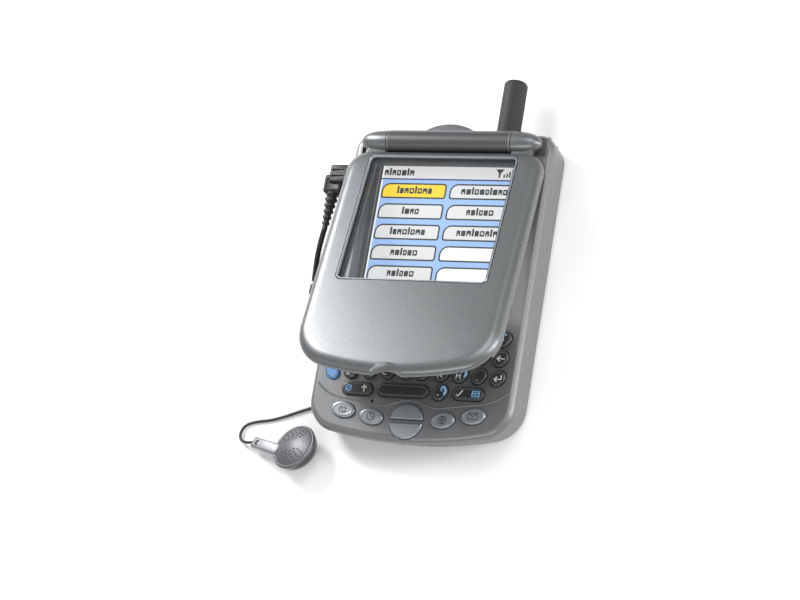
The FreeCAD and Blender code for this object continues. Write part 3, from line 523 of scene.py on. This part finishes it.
def makePlug():
    form = plugForm
    head = block(form["headLow"], form["headHigh"], 0.7)
    for y in form["grooves"]:
        head = combine(head, block((-43.2, y, 12.5), (-38.6, y + form["grooveWide"], 14), 0.2))
    elbow = block(form["elbowLow"], form["elbowHigh"], 1.1)
    elbow = combine(elbow, block(form["dipLow"], form["dipHigh"], 0.3))
    collar = laidAlongX(disc(form["collarRadius"], [(0, -0.4), (0, 1.0), (0.3, 1.2)]), form["collarPlace"])
    plug = piece(joined([head, elbow, collar]), "plug_body", "headset", "cord_black", materials["cord_black"],
                 replacing=["headset_plug"])
    pin = laidAlongX(disc(form["pinRadius"], form["pinLevels"], 28), form["pinPlace"])
    pin = piece(pin, "plug_pin", "headset", "steel", materials["steel"])
    start, end = point(*form["reliefStart"]), point(*sleeveRoute[0])
    long, levels = (end - start).length / mm, []
    for rib in range(form["ribs"]):
        shrink = (form["reliefTop"] - form["reliefEnd"]) * rib / (form["ribs"] - 1)
        low = long * rib / form["ribs"]
        levels += [(shrink + inset, low + height) for inset, height in form["ribLevels"]]
    levels.append((form["reliefTop"] - 1.0, long + 1))
    relief = disc(form["reliefTop"], levels, 28)
    turn = (end - start).to_track_quat("Z", "Y").to_matrix().to_4x4()
    relief.data.transform(Matrix.Translation(start) @ turn)
    relief = piece(relief, "plug_relief", "headset", "cord_black", materials["cord_black"], 50)
    sleeve = meshed(wire(sleeveRoute, form["sleeveRadius"]))
    sleeve = piece(sleeve, "plug_sleeve", "headset", "cord_black", materials["cord_black"], 60)
    return [plug, pin, relief, sleeve]


budForm = {"centre": (-41.2, -55.8, 7.4), "facing": (-0.28, 0.245, 0.928), "radius": 8.2, "dome": 1.6,
           "domeRadius": 7.4, "hole": 0.3, "stemAlong": (0.93, -0.26, 0.25), "stemLow": (0, -1.9, -0.95),
           "stemHigh": (12, 1.9, 0.95), "markRadius": 0.26,
           "backLevels": [(4.6, -5.6), (3.2, -5.3), (2.0, -4.5), (1.0, -3.3), (0.45, -2.0), (0.3, -0.9),
                          (0.6, -0.7)],
           "rimLevels": [(0.35, -0.95), (0.05, -0.75), (0, -0.4), (0.15, -0.05), (0.45, 0.12), (0.75, 0.12),
                         (1.0, 0.0)],
           "domeInsets": (1.2, 1.6, 2.4, 3.4, 4.6, 5.8, 7.2), "holeSides": (50, 230), "holeTurn": 96.1}
# radius of each ring of sound holes, and how many there are on each side of the face
soundHoles = ((5.9, 7), (4.8, 6), (3.7, 5), (2.6, 3))


def makeEarbud():
    facing = Vector(budForm["facing"]).normalized()
    turn = Matrix.Translation(point(*budForm["centre"])) @ facing.to_track_quat("Z", "Y").to_matrix().to_4x4()
    radius = budForm["radius"]

    def domeHeight(away):
        return budForm["dome"] * (1 - (away / budForm["domeRadius"]) ** 2)

    housing = disc(radius, budForm["backLevels"], 56)
    domeLevels = [(inset, domeHeight(radius - inset)) for inset in budForm["domeInsets"]]
    face = disc(radius, budForm["rimLevels"] + domeLevels, 56)
    # the sound holes are near-black discs set on the dome, not cut: painted shade in the holes
    spots = []
    for middle in budForm["holeSides"]:
        for away, count in soundHoles:
            for number in range(count):
                angle = math.radians(middle + (number - (count - 1) / 2) * budForm["holeTurn"] / away)
                level = domeHeight(away)
                spots.append(disc(budForm["hole"], [(0, level - 0.3), (0, level + 0.06)], 10,
                                  away * math.cos(angle), away * math.sin(angle)))
    holes = joined(spots)
    for part in (housing, face, holes):
        part.data.transform(turn)
    housing = piece(housing, "earbud_housing", "headset", "earbud", materials["earbud"], 60, ["earbud"])
    face = piece(face, "earbud_face", "headset", "earbud", materials["budFace"], 50)
    holes = piece(holes, "earbud_holes", "headset", "earbud", materials["gap"])
    start = point(*farRoute[-1])
    along = Vector(budForm["stemAlong"]).normalized()
    side = facing.cross(along).normalized()
    frameTurn = Matrix((along, side, along.cross(side))).transposed().to_4x4()
    stemTurn = Matrix.Translation(start) @ frameTurn
    stem = block(budForm["stemLow"], budForm["stemHigh"], 0.5)
    top = budForm["stemHigh"][2]
    mark = meshed(wire([(2.6, 0.9, top), (1.9, 0.4, top), (1.9, -0.4, top), (2.6, -0.9, top)],
                       budForm["markRadius"]))
    for part in (stem, mark):
        part.data.transform(stemTurn)
    stem = piece(stem, "earbud_stem", "headset", "earbud", materials["stemSilver"])
    mark = piece(mark, "earbud_mark", "headset", "earbud", materials["gap"])
    return [housing, face, holes, stem, mark]


def makeHeadset():
    parts = makePlug() + makeEarbud() + [makeTie()]
    makeCord()
    print("stage: headset made")


lidForm = {"half": 34.7, "top": 45.4, "bottom": -41.0, "bow": 100.0, "lowCorner": 14.0, "highCorner": 7.0,
           "under": 14.8, "recess": 16.4, "rim": 2.0, "edgeLow": 16.6, "edgeReach": 4.2, "edgeTop": 19.45,
           "crownTop": 20.0, "recessEnd": 41.4, "scoop": (-0.6, -47.1), "scoopWide": 11.0,
           "scoopLevels": [(3.4, 13), (3.4, 15.6), (2.9, 17.2), (2.0, 18.6), (0.8, 19.8), (0, 20.6)]}
windowForm = {"low": (-26.5, -7.3), "high": (26.5, 42.7), "seat": 17.4, "step": 1.3, "corner": 2.2,
              "rimLevels": [(0, 18.65), (0, 19.7), (0.12, 19.85), (0.35, 19.85), (0.75, 19.2)]}
speakerForm = {"y": -27, "radius": 6.5, "pocket": 6.7, "hole": 0.5, "ring": 2.0}
hingeForm = {"axis": (49.9, 16.9), "radius": 3.9, "noseStart": 22.2, "noseLong": 9.9, "noseFull": 2.6,
             "noseBlunt": 2.1, "armEnd": 29.6, "armLow": (42.0, 15.0), "armHigh": (49.9, 17.7),
             "sleeveRadius": 3.96, "sleeveHalf": 21.85,
             "noseSteps": (0, 0.15, 0.3, 0.42, 0.54, 0.64, 0.73, 0.81, 0.87, 0.92, 0.96, 0.985, 0.997)}


def lidOutline():
    form = lidForm
    half, corner, middle = form["half"], form["lowCorner"], form["bottom"] + form["bow"]
    cornerY = middle - math.sqrt((form["bow"] - corner) ** 2 - (half - corner) ** 2)
    touch = (half - corner) * form["bow"] / (form["bow"] - corner)
    lean = math.degrees(math.atan2(half - corner, middle - cornerY))
    bottom = []
    for step in range(41):
        x = touch * (step / 20 - 1)
        bottom.append((x, middle - math.sqrt(form["bow"] ** 2 - x ** 2)))
    high = form["highCorner"]
    right = arc(half - corner, cornerY, corner, lean - 90, 0, 12)[1:]
    right += arc(half - high, form["top"] - high, high, 0, 90, 6)
    return bottom + right + [(-x, y) for x, y in reversed(right)]


def windowOutline(inset):
    (x0, y0), (x1, y1) = windowForm["low"], windowForm["high"]
    corner = max(windowForm["corner"] - inset, 0.4)
    return rounded(x0 + inset, y0 + inset, x1 - inset, y1 - inset, (corner,) * 4)


def windowStack(inset, levels):
    (x0, y0), (x1, y1) = windowForm["low"], windowForm["high"]
    half = ((x1 - x0) / 2 - inset, (y1 - y0) / 2 - inset)
    return stack(windowOutline(inset), levels, ((x0 + x1) / 2, (y0 + y1) / 2), half)


def windowRing(outer, levels, inner, low, high):
    # a frame that follows the window between two insets
    return combine(windowStack(outer, levels), windowStack(inner, [(0, low), (0, high)]))


def lidLevels():
    # up from the recess, round the lower edge, over the rounded side and across the slight crown
    form = lidForm
    levels = [(inset, form["recess"]) for inset in (33, 20, 8)]
    levels += [(form["rim"], form["recess"]), (form["rim"], form["under"] + 0.3),
               (form["rim"] - 0.3, form["under"]), (0.4, form["under"]), (0, form["under"] + 0.4),
               (0, form["edgeLow"])]
    for step in range(1, 10):
        turn = math.radians(step * 10)
        levels.append((form["edgeReach"] * (1 - math.cos(turn)),
                       form["edgeLow"] + (form["edgeTop"] - form["edgeLow"]) * math.sin(turn)))
    rise = form["crownTop"] - form["edgeTop"]
    levels += [(form["edgeReach"] + 4 * step, form["edgeTop"] + rise * (1 - (1 - step / 7) ** 2))
               for step in range(1, 8)]
    return levels


def bullet(side):
    # blunt end of the hinge barrel, with the arm that carries the lid
    form, radius, levels = hingeForm, hingeForm["radius"], []
    for step in form["noseSteps"]:
        inset = radius * (1 - (1 - step ** form["noseFull"]) ** (1 / form["noseBlunt"]))
        levels.append((inset, step * form["noseLong"]))
    nose = laidAlongX(disc(radius, levels, 48), (side * form["noseStart"], *form["axis"]), side)
    outward(nose)
    ends = sorted((side * form["noseStart"], side * form["armEnd"]))
    arm = block((ends[0], *form["armLow"]), (ends[1], *form["armHigh"]), 0.7)
    return combine(nose, arm, "UNION")


def makeLid():
    form = lidForm
    middle = (0, (form["top"] + form["bottom"]) / 2)
    shell = stack(lidOutline(), lidLevels(), middle, (form["half"], (form["top"] - form["bottom"]) / 2))
    outward(shell)
    # the recess under the lid runs out through its lower edge, clear of the keys
    inner = form["half"] - form["rim"]
    shell = combine(shell, block((-inner, -60, 14), (inner, form["recessEnd"], form["recess"] + 0.03)))
    for side in (-1, 1):
        shell = combine(shell, bullet(side), "UNION")
    shell = combine(shell, windowStack(0, [(0, windowForm["seat"]), (0, 24)]))
    shell = combine(shell, windowStack(windowForm["step"], [(0, 12), (0, 24)]))
    # thumb scoop in the lower edge, wider at the top
    wide = form["scoopWide"]
    shell = combine(shell, disc(wide, form["scoopLevels"], 72, *form["scoop"]))
    y = speakerForm["y"]
    shell = combine(shell, disc(speakerForm["pocket"], [(0, 15), (0, 18.4)], 40, 0, y))
    piece(openLid(shell), "lid_cover", "lid", "lid", materials["lid"], 34, ["lid_shell"])
    # bright bevelled rim that holds the pane, with a fine gap all round
    bezel = windowRing(0.3, windowForm["rimLevels"], 0.9, 18, 21)
    piece(openLid(bezel), "window_rim", "lid", "lid", materials["buttons"], 20)
    # near-black band round the edge of the pane, just inside the rim: painted shade of the gap there
    mask = windowRing(0.8, [(0, 18.62), (0, 18.7)], 1.4, 18, 19)
    piece(openLid(mask), "window_mask", "lid", "clear_window", materials["gap"], 20)
    # thin wall that drops from the window into the recess, dark grey: painted shade in the recess
    skirt = windowRing(0.5, [(0, 14.95), (0, 17.3)], 1.3, 14, 18)
    piece(openLid(skirt), "window_skirt", "lid", "lid", materials["frame"], 20)
    # round speaker grille under the lid, with a ring of sound holes
    grille = outward(disc(speakerForm["radius"], [(0, 16.75), (0, 16.5), (0.3, 16.33)], 40, 0, y))
    for place in arc(0, y, speakerForm["ring"], 0, 300, 5):
        grille = combine(grille, outward(disc(speakerForm["hole"], [(0, 16), (0, 17.5)], 16, *place)))
    piece(openLid(grille), "speaker_grille", "lid", "dark_plastic", materials["frame"])
    print("stage: lid made")


# the picture on the screen: plain shapes in place of words
screenForm = {"left": -24.5, "top": 43.2, "side": 49.0, "level": 12.61, "glow": 0.80, "barHigh": 4.7,
              "wide": 23.3, "high": 5.6, "line": 0.55, "pitchX": 24.5, "pitchY": 7.42, "firstX": 0.7,
              "firstY": 6.4, "wordHigh": 2.0, "letterGap": 0.3}
# letters in the left and right field of each row; 0 is an empty field
wordLengths = ((8, 10), (4, 6), (8, 9), (6, 0), (6, 0), (5, 0))


def inkAndShadeFrame(low, high, corner, levels, innerLow, innerHigh):
    # a flat frame on the deck between an outer and an inner rectangle
    middle = [(a + b) / 2 for a, b in zip(low, high)]
    half = [(b - a) / 2 for a, b in zip(low, high)]
    outer = stack(rounded(*low, *high, (corner,) * 4), levels, middle, half)
    return combine(outer, block((*innerLow, 13), (*innerHigh, 16), 1.0, True))


def makeScreen():
    form = screenForm
    left, top, level, line = form["left"], form["top"], form["level"], form["line"]
    shades = {name: litFilm(name, colour, form["glow"]) for name, colour in (
        ("filmBlue", "#9cc2f6"), ("filmPale", "#e2e3e4"), ("filmWhite", "#ffffff"), ("filmYellow", "#ffd800"),
        ("filmNavy", "#101c70"), ("filmInk", "#05070c"))}
    parts = {name: [] for name in shades}

    def patch(shade, outline, lift):
        parts[shade].append(plate(outline, level + lift))

    def word(x, y, letters, high, ground):
        # a row of small uneven shapes, some hollow, read as text from afar
        for number in range(letters):
            slim = (number * 5 + letters) % 4 == 0
            wide = 0.7 if slim else 1.35 + 0.3 * ((number * 7 + letters) % 3) / 2
            tall = high * (1.35 if slim else 1)
            patch("filmInk", rounded(x, y, x + wide, y + tall, (0.25,) * 4, 2), 0.04)
            if not slim and number % 3 != 1:
                low = y + high * (0.32 if number % 2 else -0.02)
                hollow = rounded(x + 0.48, low, x + wide - 0.48, low + high * 0.42, (0.08,) * 4, 2)
                patch(ground, hollow, 0.05)
            x += wide + form["letterGap"]

    patch("filmBlue", rounded(left, top - form["side"], left + form["side"], top, (0.1,) * 4, 1), 0)
    patch("filmWhite", rounded(left, top - form["side"], left + line, top, (0.1,) * 4, 1), 0.01)
    patch("filmPale", rounded(left, top - form["barHigh"], left + form["side"], top, (0.1,) * 4, 1), 0.01)
    patch("filmNavy", rounded(left, top - form["barHigh"] - 0.5, left + form["side"], top - form["barHigh"],
                              (0.1,) * 4, 1), 0.02)
    word(left + form["firstX"], top - 3.7, 7, form["wordHigh"], "filmPale")
    # signal bars and the small aerial beside them
    for number, tall in enumerate((1.0, 1.6, 2.2, 2.9)):
        x = left + 43.3 + number * 0.95
        patch("filmInk", rounded(x, top - 3.9, x + line, top - 3.9 + tall, (0.1,) * 4, 1), 0.02)
    patch("filmInk", [(left + 40.4, top - 0.9), (left + 41.6, top - 2.4), (left + 41.6, top - 3.9),
                      (left + 42.2, top - 3.9), (left + 42.2, top - 2.4), (left + 43.4, top - 0.9)], 0.02)
    for row, pair in enumerate(wordLengths):
        for column, letters in enumerate(pair):
            x = left + form["firstX"] + column * form["pitchX"]
            y = top - form["firstY"] - row * form["pitchY"]
            shade = "filmYellow" if row + column == 0 else "filmPale" if letters else "filmWhite"
            right = min(x + form["wide"], left + form["side"] - 0.2)
            patch("filmInk", rounded(x, y - form["high"], right, y, (1.0, 1.0, 1.2, 3.0)), 0.02)
            inside = (x + line, y - form["high"] + line, right - line, y - line)
            patch(shade, rounded(*inside, (0.5, 0.5, 0.7, 2.4)), 0.03)
            if letters:
                word(x + form["wide"] / 2 - letters * 0.75, y - 3.8, letters, form["wordHigh"], shade)
    for shade, plates in parts.items():
        picture = joined(plates)
        piece(picture, "screen_" + shade, "case", "display", shades[shade])
    # dark grey border under the glass and around it on the deck: painted shade under the lid
    border = inkAndShadeFrame((-29.4, -10.6), (29.4, 45.2), 2.5, [(0, 14.28), (0, 14.42), (0.1, 14.5)],
                          (-26.4, -7.8), (26.4, 44.4))
    piece(border, "screen_surround", "case", "display", materials["frame"])
    edge = inkAndShadeFrame((-26.5, -7.9), (26.5, 44.5), 1.0, [(0, 14.28), (0, 14.4)],
                        (-25.0, -6.4), (25.0, 43.6))
    piece(edge, "screen_border", "case", "display", materials["display"])
    print("stage: screen made")


# what is printed and raised on the deck, its keys and its buttons, on the CAD's key places;
# a ring is its inset, width and height
deckForm = {"top": 14.3, "keyTop": 15.2, "keyHalf": (2.95, 2.35), "keyTilt": 55, "pitch": 6.42,
            "rowPitch": 6.6, "topRow": -17.1, "droop": 0.9, "bottomRow": -36.9, "zero": 10.0, "letter": 2.5,
            "small": 1.8, "ink": 0.03, "raised": 0.012, "keyRing": (0.5, 0.26, 0.07), "bandHalf": (2.2, 1.6),
            "pillHalf": 2.2, "buttonHalf": (4.15, 2.7), "buttonTilt": 9, "buttonRing": (0.55, 0.5, 0.16)}
# key, column, row, printed letter and second sign; None stands for a drawn sign or none
keyLegends = [
    list(zip("qwertyuiop", "QWERTYUIOP", "/+-:(123)\"")),
    list(zip("asdfghjkl", "ASDFGHJKL", "@&%=*456'")) + [("backspace", None, None)],
    [("option", None, None)] + list(zip("zxcvbnm", "ZXCVBNM", "<>?!789")) + [("period", ".", None),
                                                                           ("enter", None, None)],
]
keySigns = {
    "backspace": [[(1.4, 0), (-1.2, 0)], [(-0.2, 0.9), (-1.3, 0), (-0.2, -0.9)]],
    "enter": [[(1.1, 1.0), (1.1, -0.4), (-1.1, -0.4)], [(-0.2, 0.5), (-1.2, -0.4), (-0.2, -1.3)]],
}
buttonSigns = {
    "phone": ((-22.6, -44.3), [[(-1.2, -0.6), (-1.3, 0.3), (-0.6, 1.1), (-0.1, 0.6), (-0.5, 0.1), (0.4, -0.7),
                               (0.9, -0.4), (1.3, -0.9), (0.4, -1.2), (-1.2, -0.6)], [(0.3, 0.4), (0.9, 1.0)],
                              [(0.8, 0.1), (1.5, 0.4)]]),
    "calendar": ((-12.4, -46.2), [arc(0, 0, 1.3, 0, 360, 20), [(0, 0.9), (0, 0), (0.7, -0.5)]]),
    "messages": ((12.4, -46.2), [arc(0, 0, 1.3, 0, 360, 20), [(-1.3, 0), (1.3, 0)],
                                 [(0, 1.3), (-0.5, 0), (0, -1.3)], [(0, 1.3), (0.5, 0), (0, -1.3)]]),
    "contacts": ((22.6, -44.3), [[(-1.6, -1.0), (-1.6, 1.0), (1.6, 1.0), (1.6, -1.0), (-1.6, -1.0)],
                                [(-1.6, 1.0), (0, -0.2), (1.6, 1.0)]]),
}
# pill key, its middle and its length
pillKeys = (("symbol", -18.9, 10.8), ("space", -3.0, 18.0), ("menu", 19.7, 10.8))
# lines of each sign, its shift from the key's middle, its thickness and its ink
pillSigns = {
    "symbol": [([arc(0, 0, 0.95, 0, 360, 16), [(-0.9, -0.9), (0.9, 0.9)]], -2.9, 0.16, "legendBlue"),
               ([[(0, -1.1), (0, 0.9)], [(-0.9, 0.1), (0, 1.1), (0.9, 0.1)]], 2.6, 0.22, "legendWhite")],
    "menu": [([[(-1.1, -0.5), (-0.5, -0.9), (0.9, 1.1)]], -2.8, 0.2, "legendWhite"),
             ([[(-1.2, -0.9), (-1.2, 0.9), (1.2, 0.9), (1.2, -0.9), (-1.2, -0.9)],
               [(-1.2, 0.3), (1.2, 0.3)], [(-0.6, -0.3), (0.6, -0.3)]], 2.6, 0.15, "legendBlue")],
}


def lettering(text, size, x, y, z, material):
    # printed letter as a very thin solid
    bpy.ops.object.text_add(location=point(x, y, z))
    obj = bpy.context.object
    obj.data.body = text
    obj.data.size = size * mm
    obj.data.extrude = deckForm["ink"] / 2 * mm
    obj.data.offset = 0.05 * mm
    obj.data.align_x, obj.data.align_y = "CENTER", "CENTER"
    obj.data.resolution_u = 3
    return dress(applied(meshed(obj)), material)


def signs(lines, x, y, z, radius, material):
    # drawn sign: fine lines sunk halfway into the surface
    bars = [meshed(wire([(x + u, y + v, z) for u, v in line], radius, order=2)) for line in lines]
    return dress(joined(bars), material)


def rim(outline, middle, half, inset, wide, high):
    # low raised ring just inside the edge of a key or button
    z = deckForm["keyTop"]
    ring = stack(outline, [(inset, z - 0.05), (inset, z + high / 2), (inset + wide * 0.3, z + high),
                           (inset + wide * 0.6, z + high), (inset + wide, z + high / 2),
                           (inset + wide, z - 0.05)], middle, half)
    toEdit(ring, "FACE", "DESELECT")
    bpy.ops.mesh.select_mode(type="FACE")
    bpy.ops.object.mode_set(mode="OBJECT")
    for face in ring.data.polygons:
        face.select = len(face.vertices) > 4
    bpy.ops.object.mode_set(mode="EDIT")
    bpy.ops.mesh.delete(type="ONLY_FACE")
    bpy.ops.mesh.select_all(action="SELECT")
    bpy.ops.mesh.select_mode(type="EDGE")
    bpy.ops.mesh.region_to_loop()
    bpy.ops.mesh.bridge_edge_loops()
    bpy.ops.object.mode_set(mode="OBJECT")
    return ring


def keyPrint(name, x, y, white, blue, half, tilt, band=False):
    # ring and legends of one key; the band is a blue arc on its cap
    form = deckForm
    z = form["keyTop"] + form["raised"]
    ring = rim(oval(x, y, *half, tilt), (x, y), (half[0], half[0]), *form["keyRing"])
    # the cap's rim is painted lighter than the cap: a painted highlight on its edge
    parts = [dress(ring, materials["keyRimPaintedHighlight"])]
    if white:
        parts.append(lettering(white, form["letter"], x - 0.55, y - 0.75, z, materials["legendWhite"]))
    if blue:
        parts.append(lettering(blue, form["small"], x + 0.5, y + 0.95, z, materials["legendBlue"]))
    if keySigns.get(name):
        parts.append(signs(keySigns[name], x, y, z, 0.2, materials["legendWhite"]))
    if band:
        turn, (long, short) = math.radians(tilt), form["bandHalf"]
        line = [(u * math.cos(turn) - v * math.sin(turn), u * math.sin(turn) + v * math.cos(turn))
                for u, v in ((long * math.cos(t / 10), short * math.sin(t / 10)) for t in range(-15, 5))]
        parts.append(signs([line], x, y, z - 0.12, 0.4, materials["legendBlue"]))
    body = "key_" + name
    return piece(joined(parts), body + "_print", body, "keys")


def makeKeys():
    form = deckForm
    for row, line in enumerate(keyLegends):
        for column, (name, white, blue) in enumerate(line):
            x = (column - 4.5) * form["pitch"]
            y = form["topRow"] - row * form["rowPitch"] - form["droop"] * ((column - 4.5) / 4.5) ** 2
            tilt = form["keyTilt"] if column > 4 else -form["keyTilt"]
            keyPrint(name, x, y, white, blue, form["keyHalf"], tilt, name in "ikm")
    keyPrint("zero", form["zero"], form["bottomRow"], "-", "0", form["keyHalf"], form["keyTilt"], True)
    z, y, half = form["keyTop"] + form["raised"], form["bottomRow"], form["pillHalf"]
    for name, x, long in pillKeys:
        outline = rounded(x - long / 2, y - half, x + long / 2, y + half, (half - 0.01,) * 4, 8)
        # the pill key's rim is painted lighter than the cap: a painted highlight on its edge
        parts = [dress(rim(outline, (x, y), (long / 2, half), *form["keyRing"]), materials["keyRimPaintedHighlight"])]
        for lines, shift, thick, ink in pillSigns.get(name, ()):
            parts.append(signs(lines, x + shift, y, z, thick, materials[ink]))
        piece(joined(parts), "key_" + name + "_print", "key_" + name, "keys")
    for name, ((x, y), lines) in buttonSigns.items():
        tilt = math.copysign(form["buttonTilt"], x)
        long, short = form["buttonHalf"]
        edge = rim(oval(x, y, long, short, tilt), (x, y), (long, short), *form["buttonRing"])
        icon = signs(lines, x, y, form["keyTop"], 0.13, materials["icon"])
        face = joined([dress(edge, materials["buttons"]), icon])
        piece(face, "button_" + name + "_face", "button_" + name, "buttons")
    print("stage: keys made")


# left half of the ridge, from the side of the deck to above the round pad
ridgeForm = {"radius": 0.34, "sunk": 0.12,
             "left": [(-33.2, -35.4), (-30.8, -37.9), (-26.0, -39.9), (-20.0, -40.6), (-14.0, -41.6),
                      (-9.6, -42.2), (-6.8, -41.8), (-3.4, -40.2), (0, -39.85)]}
dockForm = {"faceLow": (-11.3, -51.2, 3.1), "faceHigh": (11.3, -50.5, 5.9), "contactLow": (-9.4, -51.3, 3.6),
            "contactHigh": (-8.7, -51.1, 5.4), "contacts": 14, "pitch": 1.4}
jackForm = {"place": (-34.2, 40, 10), "radius": 2.92, "hole": 1.5, "levels": [(0, 0), (0, 0.5), (0.15, 0.6)]}


def makeDeck():
    # soft ridge that runs from the sides of the deck and over the round pad
    left = ridgeForm["left"]
    path = left + [(-x, y) for x, y in reversed(left[:-1])]
    height = deckForm["top"] - ridgeForm["sunk"]
    ridge = meshed(wire([(x, y, height) for x, y in path], ridgeForm["radius"]))
    piece(ridge, "deck_ridge", "case", "case", materials["case"], 60)
    # sleeve of the hinge barrel
    long = hingeForm["sleeveHalf"]
    levels = [(0.5, -long), (0, 0.5 - long), (0, long - 0.5), (0.5, long)]
    sleeve = laidAlongX(disc(hingeForm["sleeveRadius"], levels, 48), (0, *hingeForm["axis"]))
    piece(sleeve, "hinge_sleeve", "case", "case", materials["barrel"], 32)
    # face of the dock connector in the lower end, with its row of contacts
    face = block(dockForm["faceLow"], dockForm["faceHigh"], 0.1)
    piece(face, "dock_face", "case", "dark_plastic", materials["dark_plastic"])
    contact = block(dockForm["contactLow"], dockForm["contactHigh"], 0.05)
    contacts = [contact]
    for number in range(1, dockForm["contacts"]):
        twin = contact.copy()
        twin.data = contact.data.copy()
        bpy.context.collection.objects.link(twin)
        twin.location.x = number * dockForm["pitch"] * mm
        contacts.append(applied(twin))
    piece(joined(contacts), "dock_contacts", "case", "steel", materials["contact"])
    # black mouth of the headset jack, open for the pin
    mouth = outward(disc(jackForm["radius"], jackForm["levels"]))
    mouth = combine(mouth, outward(disc(jackForm["hole"], [(0, -1), (0, 2)])))
    laidAlongX(mouth, jackForm["place"], -1)
    piece(mouth, "jack_mouth", "case", "dark_plastic", materials["dark_plastic"])
    print("stage: deck made")


def makeRoom():
    # pale floor just under the part
    bpy.ops.mesh.primitive_plane_add(size=6, location=(0, 0, -0.00005))
    floor = bpy.context.object
    floor.name = "floor"
    material, tree, shader, where = startMaterial("paleFloor")
    settle(shader, tree, Base_Color=ramp(tree, grain(tree, where, 30), 0.2, 0.8, linear("#f2f2f2"),
                                         linear("#fafafa")), Roughness=0.5)
    dress(floor, material)
    print("stage: room made")


makeHeadset()
makeLid()
makeScreen()
makeKeys()
makeDeck()
makeRoom()
